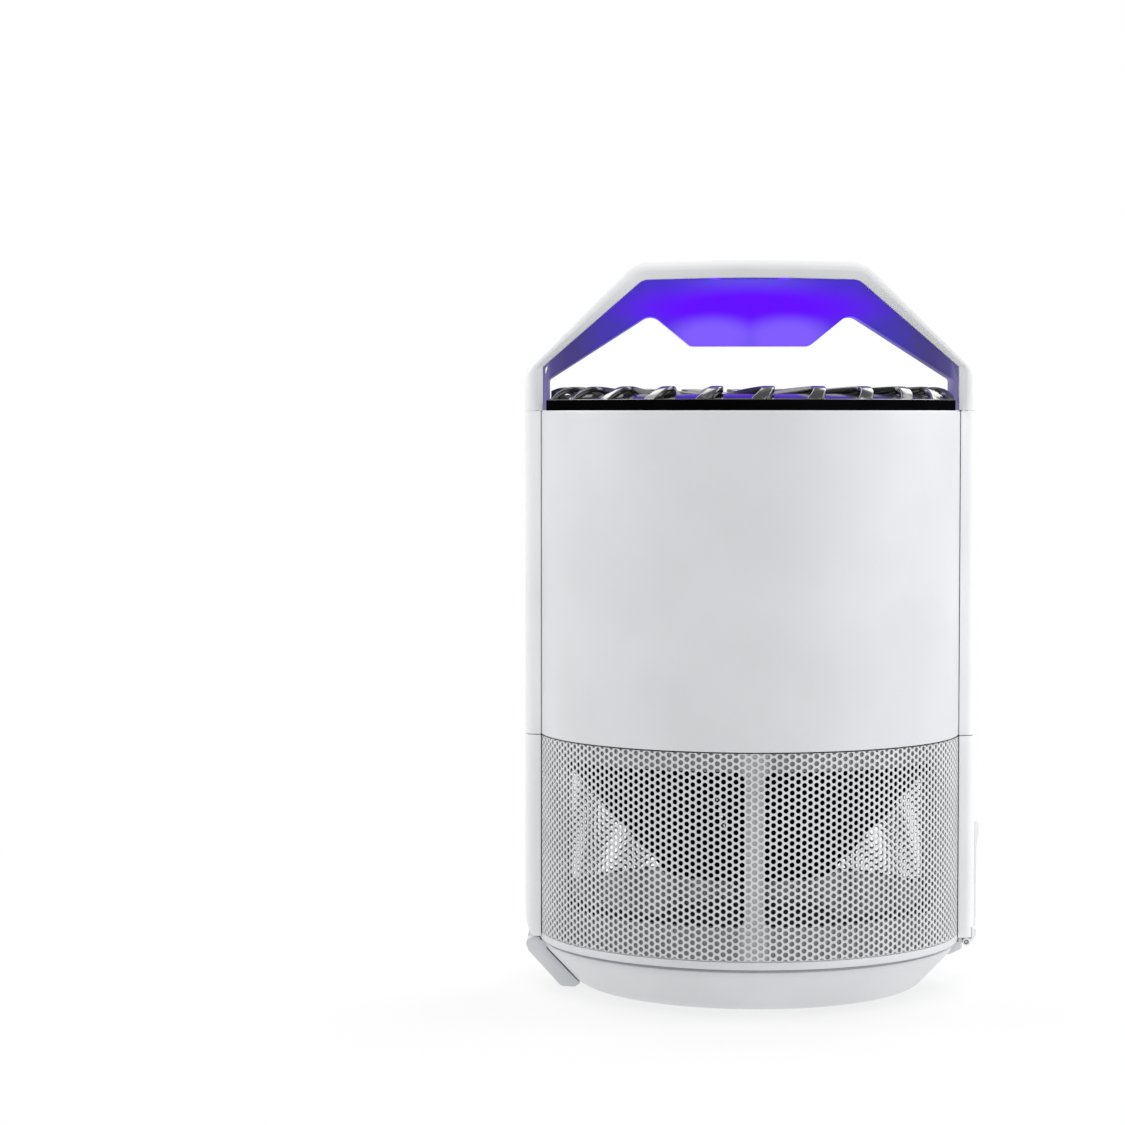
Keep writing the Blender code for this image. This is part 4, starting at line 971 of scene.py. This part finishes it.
def make_strips():
    """Upper and lower strips on both sides."""
    for side, word in ((-1, "left"), (1, "right")):
        make_strip(f"side_strip_{word}_smooth", side, STRIP[0].z, STRIP[1].z, f"side_strip_{word}")
        tools = tongue_tools() if side < 0 else lever_room_tools()
        make_strip(f"cage_strip_{word}_smooth", side, LOWER_STRIP[0].z, LOWER_STRIP[1].z,
                   f"cage_strip_{word}", side < 0, tools)


def make_housing():
    """Housing shell with a softened rim, and openings at the back for buttons and power socket."""
    inner = BODY_R - SHELL_WALL
    top, low = RIM, HOUSING[0].z
    rebate = GRILLE[0].z - GAP
    seat = GRILLE[1].y + GAP
    section = rounded([(BODY_R, top, 0.0008), (BODY_R, low, 0.0004), (inner, low, 0.0), (inner, rebate, 0.0),
                       (seat, rebate, 0.0), (seat, top, 0.0002)], 5)
    round_holes = ((POWER_BUTTON, BUTTON_HOLE_R), (MODE_BUTTON, BUTTON_HOLE_R), (JACK, JACK_HOLE_R))
    holes = [level_rod(radius, axis_place(box), 0.06, 0.09) for box, radius in round_holes]
    mesh = combined(turned(section), cuts(*holes))
    piece("housing_shell_smooth", mesh, "white_shell", "upper_unit", "housing_shell")


def turned_back(section, place):
    """A mesh turned about an axis that points out of the back, from (radius, depth) points."""
    x, z = place
    mesh = turned(section, SMALL, closed=False)
    mesh.transform(Matrix.Translation((x, 0.0, z)) @ Matrix.Rotation(-math.pi / 2, 4, "X"))
    return mesh


def make_controls():
    """Two dished buttons and the round power socket on the back."""
    flange_r, flange, flange_t = BUTTON_FLANGE
    for name, box in (("power_button", POWER_BUTTON), ("mode_button", MODE_BUTTON)):
        stem, cap = box[0].y, box[1].y
        side = rounded([(0.0040, cap, 0.0003), (BUTTON_R, cap, 0.0006), (BUTTON_R, flange, 0.0),
                        (flange_r, flange, 0.0), (flange_r, flange - flange_t, 0.0),
                        (BUTTON_STEM_R, flange - flange_t, 0.0), (BUTTON_STEM_R, stem, 0.0)], 4)
        dish = [Vector((0.0, cap - 0.0005)), Vector((0.0016, cap - 0.00045)), Vector((0.0030, cap - 0.00025))]
        mesh = turned_back([*dish, *side, Vector((0.0, stem))], axis_place(box))
        piece(f"{name}_smooth", mesh, "grey_plastic", name, name)
    back, mouth = JACK[0].y, JACK[1].y
    pin, well, tip, floor = 0.0010, 0.0030, mouth - 0.0012, back + 0.0020
    side = rounded([(pin, tip, 0.0003), (pin, floor, 0.0), (well, floor, 0.0), (well, mouth, 0.0003),
                    (JACK_R, mouth, 0.0003), (JACK_R, back, 0.0)], 3)
    mesh = turned_back([Vector((0.0, tip)), *side, Vector((0.0, back))], axis_place(JACK))
    piece("power_jack_smooth", mesh, "black_plastic", "upper_unit", "power_jack")


# ---------------------------------------------------------------- bell mouth, impeller and grille

def make_bell():
    """Bell mouth that leads the air from the grille down to the duct."""
    wall, throat, lip = BELL_WALL, BELL_THROAT, BELL_LIP
    low, top = BELL[0].z, BELL[1].z
    curve = []
    steps = 20
    for k in range(steps + 1):
        angle = math.pi / 2 * k / steps
        curve.append((lip - (lip - throat) * math.sin(angle), low + (top - low) * math.cos(angle)))
    outside = [(r + wall * k / steps, z - wall * (1 - k / steps)) for k, (r, z) in enumerate(curve)]
    flange = BELL[1].x
    section = [(flange, top), (flange, top - wall), *outside, *reversed(curve)]
    piece("bell_mouth_smooth", turned(section), "grey_plastic", "upper_unit", "bell_mouth")


def blade_point(u, v, k):
    """A point of blade k: u runs from root to tip, v across the chord."""
    root = HUB_R - 0.0008
    radius = root + (BLADE_TIP - root) * u
    chord = BLADE_CHORD[0] + (BLADE_CHORD[1] - BLADE_CHORD[0]) * u
    pitch = math.radians(BLADE_PITCH_DEG[0] + (BLADE_PITCH_DEG[1] - BLADE_PITCH_DEG[0]) * u)
    along = chord * (v - 0.5)
    angle = math.tau * k / BLADES + math.radians(12) * u + along * math.cos(pitch) / radius
    middle = (IMPELLER[0].z + IMPELLER[1].z) / 2
    z = middle + along * math.sin(pitch) + BLADE_CAMBER * math.sin(math.pi * v)
    return Vector((radius * math.cos(angle), radius * math.sin(angle), z))


def ribbons(shape, count, along, across):
    """Sheets whose points shape(u, v, k) places, for u and v from 0 to 1."""
    bm = bmesh.new()
    for k in range(count):
        grid = [[bm.verts.new(shape(i / along, j / across, k)) for j in range(across + 1)]
                for i in range(along + 1)]
        for near, far in zip(grid, grid[1:]):
            for j in range(across):
                bm.faces.new((near[j], far[j], far[j + 1], near[j + 1]))
    mesh = bpy.data.meshes.new("ribbons")
    bm.to_mesh(mesh)
    bm.free()
    return mesh


def make_impeller():
    """Seven-blade axial impeller on a cup hub."""
    low, top = IMPELLER[0].z, IMPELLER[1].z
    bore, inner = SHAFT_BORE, HUB_R - HUB_WALL
    web, under = top - 0.0030, top - 0.0060
    side = rounded([(0.0100, top, 0.004), (HUB_R, web, 0.002), (HUB_R, low, 0.0002), (inner, low, 0.0),
                    (inner, under, 0.0), (bore, under, 0.0), (bore, web, 0.0)], 4)
    hub = turned([Vector((0.0, top)), *side, Vector((0.0, web))], MEDIUM, closed=False)
    blades = reshaped(ribbons(blade_point, BLADES, 12, 10), full(BLADE_T, 0.0), soft_edges(0.0004))
    piece("fan_impeller_smooth", combined(hub, joins(blades)), "black_plastic", "fan", "fan_impeller")


def vane_place(u):
    """A vane's middle line, from the ring (u = 0) over its crest to the hub (u = 1), for the vane at +X."""
    (foot_r, foot_z), (crest_r, crest_z), (end_r, end_z) = VANE_FOOT, VANE_CREST, VANE_END
    if u < VANE_CLIMB:
        rise = math.pi / 2 * u / VANE_CLIMB
        radius = crest_r + (foot_r - crest_r) * math.cos(rise)
        height = foot_z + (crest_z - foot_z) * math.sin(rise)
        return on_circle(radius, VANE_LEAN_DEG * math.sin(rise), height)
    share = (u - VANE_CLIMB) / (1 - VANE_CLIMB)
    radius = crest_r + (end_r - crest_r) * share
    swept = (math.log(crest_r / radius) / math.log(crest_r / end_r)) ** 1.15
    height = crest_z + (end_z - crest_z) * share ** 1.3
    return on_circle(radius, VANE_LEAN_DEG - VANE_SWEEP_DEG * swept, height)


def vane_section(u):
    """A vane's rounded section at u, for the vane at +X."""
    step = 0.01
    here = vane_place(u)
    along = (vane_place(min(1.0, u + step)) - vane_place(max(0.0, u - step))).normalized()
    tilt = math.pi / 2 * min(1.0, u / VANE_CLIMB)
    facing = here.normalized() * math.cos(tilt)
    facing.z = math.sin(tilt)
    aside = along.cross(facing).normalized()
    up = aside.cross(along)
    share = max(0.0, u - VANE_CLIMB) / (1 - VANE_CLIMB)
    half = (VANE_WIDE[0] + (VANE_WIDE[1] - VANE_WIDE[0]) * share) / 2
    top = VANE_TALL[0] / 2
    deepened = min(1.0, share / VANE_DEEPENS)
    low = top - (VANE_TALL[0] + (VANE_TALL[1] - VANE_TALL[0]) * deepened)
    corners = rounded([(half, top, 0.0006), (half, low, 0.0003), (-half, low, 0.0003), (-half, top, 0.0006)],
                      steps=3)
    return [here + aside * a + up * b for a, b in corners]


def make_grille():
    """Inlet grille: an outer ring with a sloping collar, hooked vanes over a shallow dish, and a hub."""
    radius, foot = GRILLE[1].y, GRILLE[0].z
    inner = radius - RING_WALL
    collar_r, collar_z = COLLAR
    ring = turned(rounded([(radius, RING_TOP, 0.0003), (radius, foot, 0.0003), (inner, foot, 0.0),
                           (inner, RING_TOP - RING_T, 0.0), (collar_r, collar_z - RING_T, 0.0003),
                           (collar_r, collar_z, 0.0004)], 4))
    stations = 36
    vane = [vane_section(k / stations) for k in range(stations + 1)]
    turns = [Matrix.Rotation(math.tau * k / VANES, 3, "Z") for k in range(VANES)]
    vanes = merged([lofted([[turn @ point for point in loop] for loop in vane]) for turn in turns])
    z, hub_r = GRILLE_HUB_Z, GRILLE_HUB_R
    top, under = z + 0.0016, z - 0.0030
    cap = rounded([(hub_r - 0.0020, z + 0.0013, 0.0050), (hub_r, z + 0.0001, 0.0008), (hub_r, under, 0.0)], 5)
    hub = turned([Vector((0.0, top)), *cap, Vector((0.0, under))], MEDIUM, closed=False)
    tools = joins(vanes, hub)
    for side in (-1, 1):
        low, high = sorted((side * NOTCH_X, side * 0.0820))
        tools += cuts(block((low, -NOTCH_HALF, RIM - GAP), (high, NOTCH_HALF, RIM + 0.0200)))
    piece("inlet_grille_smooth", combined(ring, tools), "black_plastic", "upper_unit", "inlet_grille")


# ---------------------------------------------------------------- handle

def handle_edge(leg, leg_bend, shoulder, shoulder_bend, crown):
    """One edge of the handle's front, from its right foot over to its left foot."""
    right = [(leg[0], GAP / 2, 0.0), (*leg, leg_bend), (*shoulder, shoulder_bend)]
    left = [(-x, z, bend) for x, z, bend in reversed(right)]
    return rounded(right + [(0.0, crown, CROWN_BEND)] + left, steps=12)


def handle_line(inset):
    """A line along the handle's front: its outer edge at inset 0, and its inner edge at BAND."""
    outer = handle_edge((STRIP_X, LEG_TOP), LEG_BEND, SHOULDER, SHOULDER_BEND, CROWN)
    inner = handle_edge(INNER_LEG, INNER_LEG_BEND, INNER_SHOULDER, INNER_SHOULDER_BEND, CROWN - BAND)
    return [far.lerp(near, inset / BAND) for far, near in zip(outer, inner)]


def make_handle():
    """Handle shell: a channel bent over the grille, rounded on top, with a chamfered lower half."""
    wall = HANDLE_WALL
    half = STRIP_HALF
    corner = rounded([(0.0, 0.0, 0.0), (0.0, half, EDGE_R), (0.0044, half, 0.0015),
                      (BAND, half - 0.0010, 0.0004), (BAND, half - wall, 0.0003),
                      (wall, half - wall, 0.0010), (wall, 0.0, 0.0)], 6)[1:-1]
    section = [(n, y) for n, y in corner] + [(n, -y) for n, y in reversed(corner)]
    lines = {point[0]: handle_line(point[0]) for point in section}
    count = len(handle_line(0.0))
    loops = [[Vector((lines[n][i].x, y, RIM + lines[n][i].y)) for n, y in section] for i in range(count)]
    far, deep, thick = HANDLE_FOOT
    tools = []
    for side in (-1, 1):
        low, high = sorted((side * INNER_LEG[0], side * far))
        tools += joins(block((low, -deep, RIM + GAP / 2), (high, deep, RIM + thick)))
    screw_x, screw_y = HANDLE_SCREW
    for radius, place in ((0.0013, HANDLE_LEAD), (0.0011, (-screw_x, screw_y)), (0.0011, (screw_x, screw_y))):
        tools += cuts(upright_rod(radius, place, RIM - 0.005, RIM + 0.005, 24))
    piece("handle_shell_smooth", combined(lofted(loops), tools), "strip_shell", "upper_unit", "handle_shell")


def edge_height(line, x):
    """The height of a handle line above x, between its two legs."""
    for near, far in zip(line, line[1:]):
        if far.x <= x <= near.x and near.x > far.x:
            return near.y + (far.y - near.y) * (near.x - x) / (near.x - far.x)
    return line[0].y


def diffuser_width(x):
    """Half the diffuser's depth at its lower edge: full on the legs, narrow at the keel."""
    share = min(1.0, max(0.0, (abs(x) - KEEL[0]) / (KNEE[0] - KEEL[0])))
    return KEEL_HALF + (LINER_HALF - KEEL_HALF) * share


def make_diffuser():
    """Milky diffuser inside the handle: liners on the legs and a keel over the grille, rounded below."""
    upper = handle_line(BAND + 0.0001)
    right = [(KNEE[0], GAP / 2, 0.0), (*KNEE, 0.0015), (*ARCH, 0.0050), (*KEEL, 0.0030)]
    lower = rounded(right + [(-x, z, bend) for x, z, bend in reversed(right)], 8)
    loops = []
    for low in lower:
        deep = diffuser_width(low.x)
        if abs(low.x) > KNEE[0] - 0.0002:
            high = Vector((math.copysign(KNEE[0] + LINER_T, low.x), low.y))
            wide = LINER_HALF + 0.0008
        else:
            high = Vector((low.x, edge_height(upper, low.x)))
            wide = deep
        length = (high - low).length
        soft = min(0.0008, length * 0.4)
        cut = rounded([(-wide, 0.0, 0.0), (wide, 0.0, 0.0), (deep, length, soft), (-deep, length, soft)], 4)
        way = (low - high) / length
        loops.append([Vector((high.x + way.x * s, y, RIM + high.y + way.y * s)) for y, s in cut])
    piece("handle_diffuser_smooth", lofted(loops), "lit_diffuser", "upper_unit", "handle_diffuser")


# ---------------------------------------------------------------- carried-over nodes

def dress_nodes():
    """Gives every CAD node that is still shown the look of its slot."""
    four = range(1, 5)
    carried = {
        "rubber": [f"rubber_foot_{k}" for k in four],
        "steel": ["hinge_pin", "latch_pin", "fan_motor", "fan_shaft", "handle_screw_left",
                  "handle_screw_right"] + [f"deck_screw_{k}" for k in four],
        "bronze": ["lower_bearing", "upper_bearing"],
        "white_shell": ["fan_duct"],
        "circuit_board": ["control_board", "lamp_board"],
        "tray_plastic": ["power_switch", "mode_switch"],
        "uv_lamp": [f"uv_lamp_{k}" for k in four],
        "cable": ["lamp_lead", "motor_lead", "power_lead"],
    }
    for slot, names in carried.items():
        for name in names:
            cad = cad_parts[name]
            if not cad.material_slots:
                cad.data.materials.append(LOOKS[slot])
            for held in cad.material_slots:
                held.material = LOOKS[slot]


# ---------------------------------------------------------------- studio

def make_floor():
    """Pale floor that fades into the white of the background with distance."""
    mesh = bpy.data.meshes.new("floor")
    bm = bmesh.new()
    bmesh.ops.create_circle(bm, cap_ends=True, segments=MEDIUM, radius=FLOOR_R)
    bm.to_mesh(mesh)
    bm.free()
    floor = bpy.data.objects.new("floor", mesh)
    bpy.context.scene.collection.objects.link(floor)
    made = bpy.data.materials.new("floor_paper")
    made.use_nodes = True
    tree = made.node_tree
    place = tree.nodes.new("ShaderNodeTexCoord").outputs["Object"]
    shader = tree.nodes["Principled BSDF"]
    seen = tree.nodes.new("ShaderNodeLightPath").outputs["Is Camera Ray"]
    tree.links.new(mixed(tree, seen, srgb(215, 215, 215), srgb(238, 238, 238)), shader.inputs["Base Color"])
    shader.inputs["Roughness"].default_value = 0.9
    away = node(tree, "VectorMath", {0: place}, operation="LENGTH").outputs["Value"]
    share = mapped(tree, away, (0.05, 0.50), (0.70, 1.0), smooth=True)
    white = node(tree, "Emission", {"Color": (1.0, 1.0, 1.0, 1.0), "Strength": 1.0})
    blend = node(tree, "MixShader", {0: share, 1: shader.outputs[0], 2: white.outputs[0]})
    tree.links.new(blend.outputs[0], tree.nodes["Material Output"].inputs["Surface"])
    mesh.materials.append(made)


def make_world():
    """Surround that the camera sees as white, and that lights the object less from the front than behind."""
    world = bpy.data.worlds.new("studio")
    world.use_nodes = True
    bpy.context.scene.world = world
    tree = world.node_tree
    split = node(tree, "SeparateXYZ", {"Vector": tree.nodes.new("ShaderNodeTexCoord").outputs["Generated"]})
    lifted = calc(tree, "ADD", split.outputs["Y"], calc(tree, "MULTIPLY", split.outputs["Z"], 1.2))
    ambient = mapped(tree, lifted, (-0.7, 0.4), (AMBIENT_FRONT, AMBIENT_BACK), smooth=True)
    seen = tree.nodes.new("ShaderNodeLightPath").outputs["Is Camera Ray"]
    strength = calc(tree, "MAXIMUM", seen, ambient)
    background = tree.nodes["Background"]
    background.inputs["Color"].default_value = (1.0, 1.0, 1.0, 1.0)
    tree.links.new(strength, background.inputs["Strength"])


def area_light(name, place, target, size, power):
    """A white rectangular softbox that faces a target."""
    data = bpy.data.lights.new(name, "AREA")
    data.shape = "RECTANGLE"
    data.size, data.size_y = size
    data.energy = power
    made = bpy.data.objects.new(name, data)
    made.location = place
    made.rotation_euler = (Vector(target) - Vector(place)).to_track_quat("-Z", "Y").to_euler()
    bpy.context.scene.collection.objects.link(made)


def make_lights():
    """Softboxes above the front, high at both sides and behind, and a weak one low on the right."""
    middle = (0.0, 0.0, 0.12)
    area_light("front_top", (0.0, -0.95, 1.15), middle, (1.0, 0.7), 5.0)
    area_light("side_left", (-0.85, 0.05, 0.72), middle, (0.5, 1.0), 3.4)
    area_light("side_right", (0.85, 0.00, 0.72), middle, (0.5, 1.0), 4.2)
    area_light("low_right", (0.70, -0.46, 0.07), (0.03, 0.0, 0.01), (0.6, 0.10), 0.7)
    area_light("back_left", (-0.50, 0.66, 1.00), middle, (0.6, 0.7), 4.6)
    area_light("back_right", (0.50, 0.66, 1.00), middle, (0.6, 0.7), 5.6)


def make_camera():
    """Camera in front of the object and a little above its middle, with the object right of centre."""
    across = math.radians(CAMERA_YAW_DEG)
    data = bpy.data.cameras.new("camera")
    data.lens = LENS_MM
    data.sensor_width = SENSOR_MM
    camera = bpy.data.objects.new("camera", data)
    camera.location = (-CAMERA_FAR * math.sin(across), -CAMERA_FAR * math.cos(across), CAMERA_HIGH)
    camera.rotation_euler = (math.radians(90 - CAMERA_DOWN_DEG), 0.0, across)
    bpy.context.scene.collection.objects.link(camera)
    bpy.context.scene.camera = camera


LOOKS = make_looks()
make_bowl()
make_tray()
make_lever()
make_cage()
make_sheet("screen_front_smooth", -90, "screen_front")
make_sheet("screen_rear_smooth", 90, "screen_rear")
make_funnel()
make_strips()
make_housing()
make_controls()
make_bell()
make_impeller()
make_grille()
make_handle()
make_diffuser()
dress_nodes()
make_floor()
make_world()
make_lights()
make_camera()
bpy.context.scene.view_settings.view_transform = "Standard"
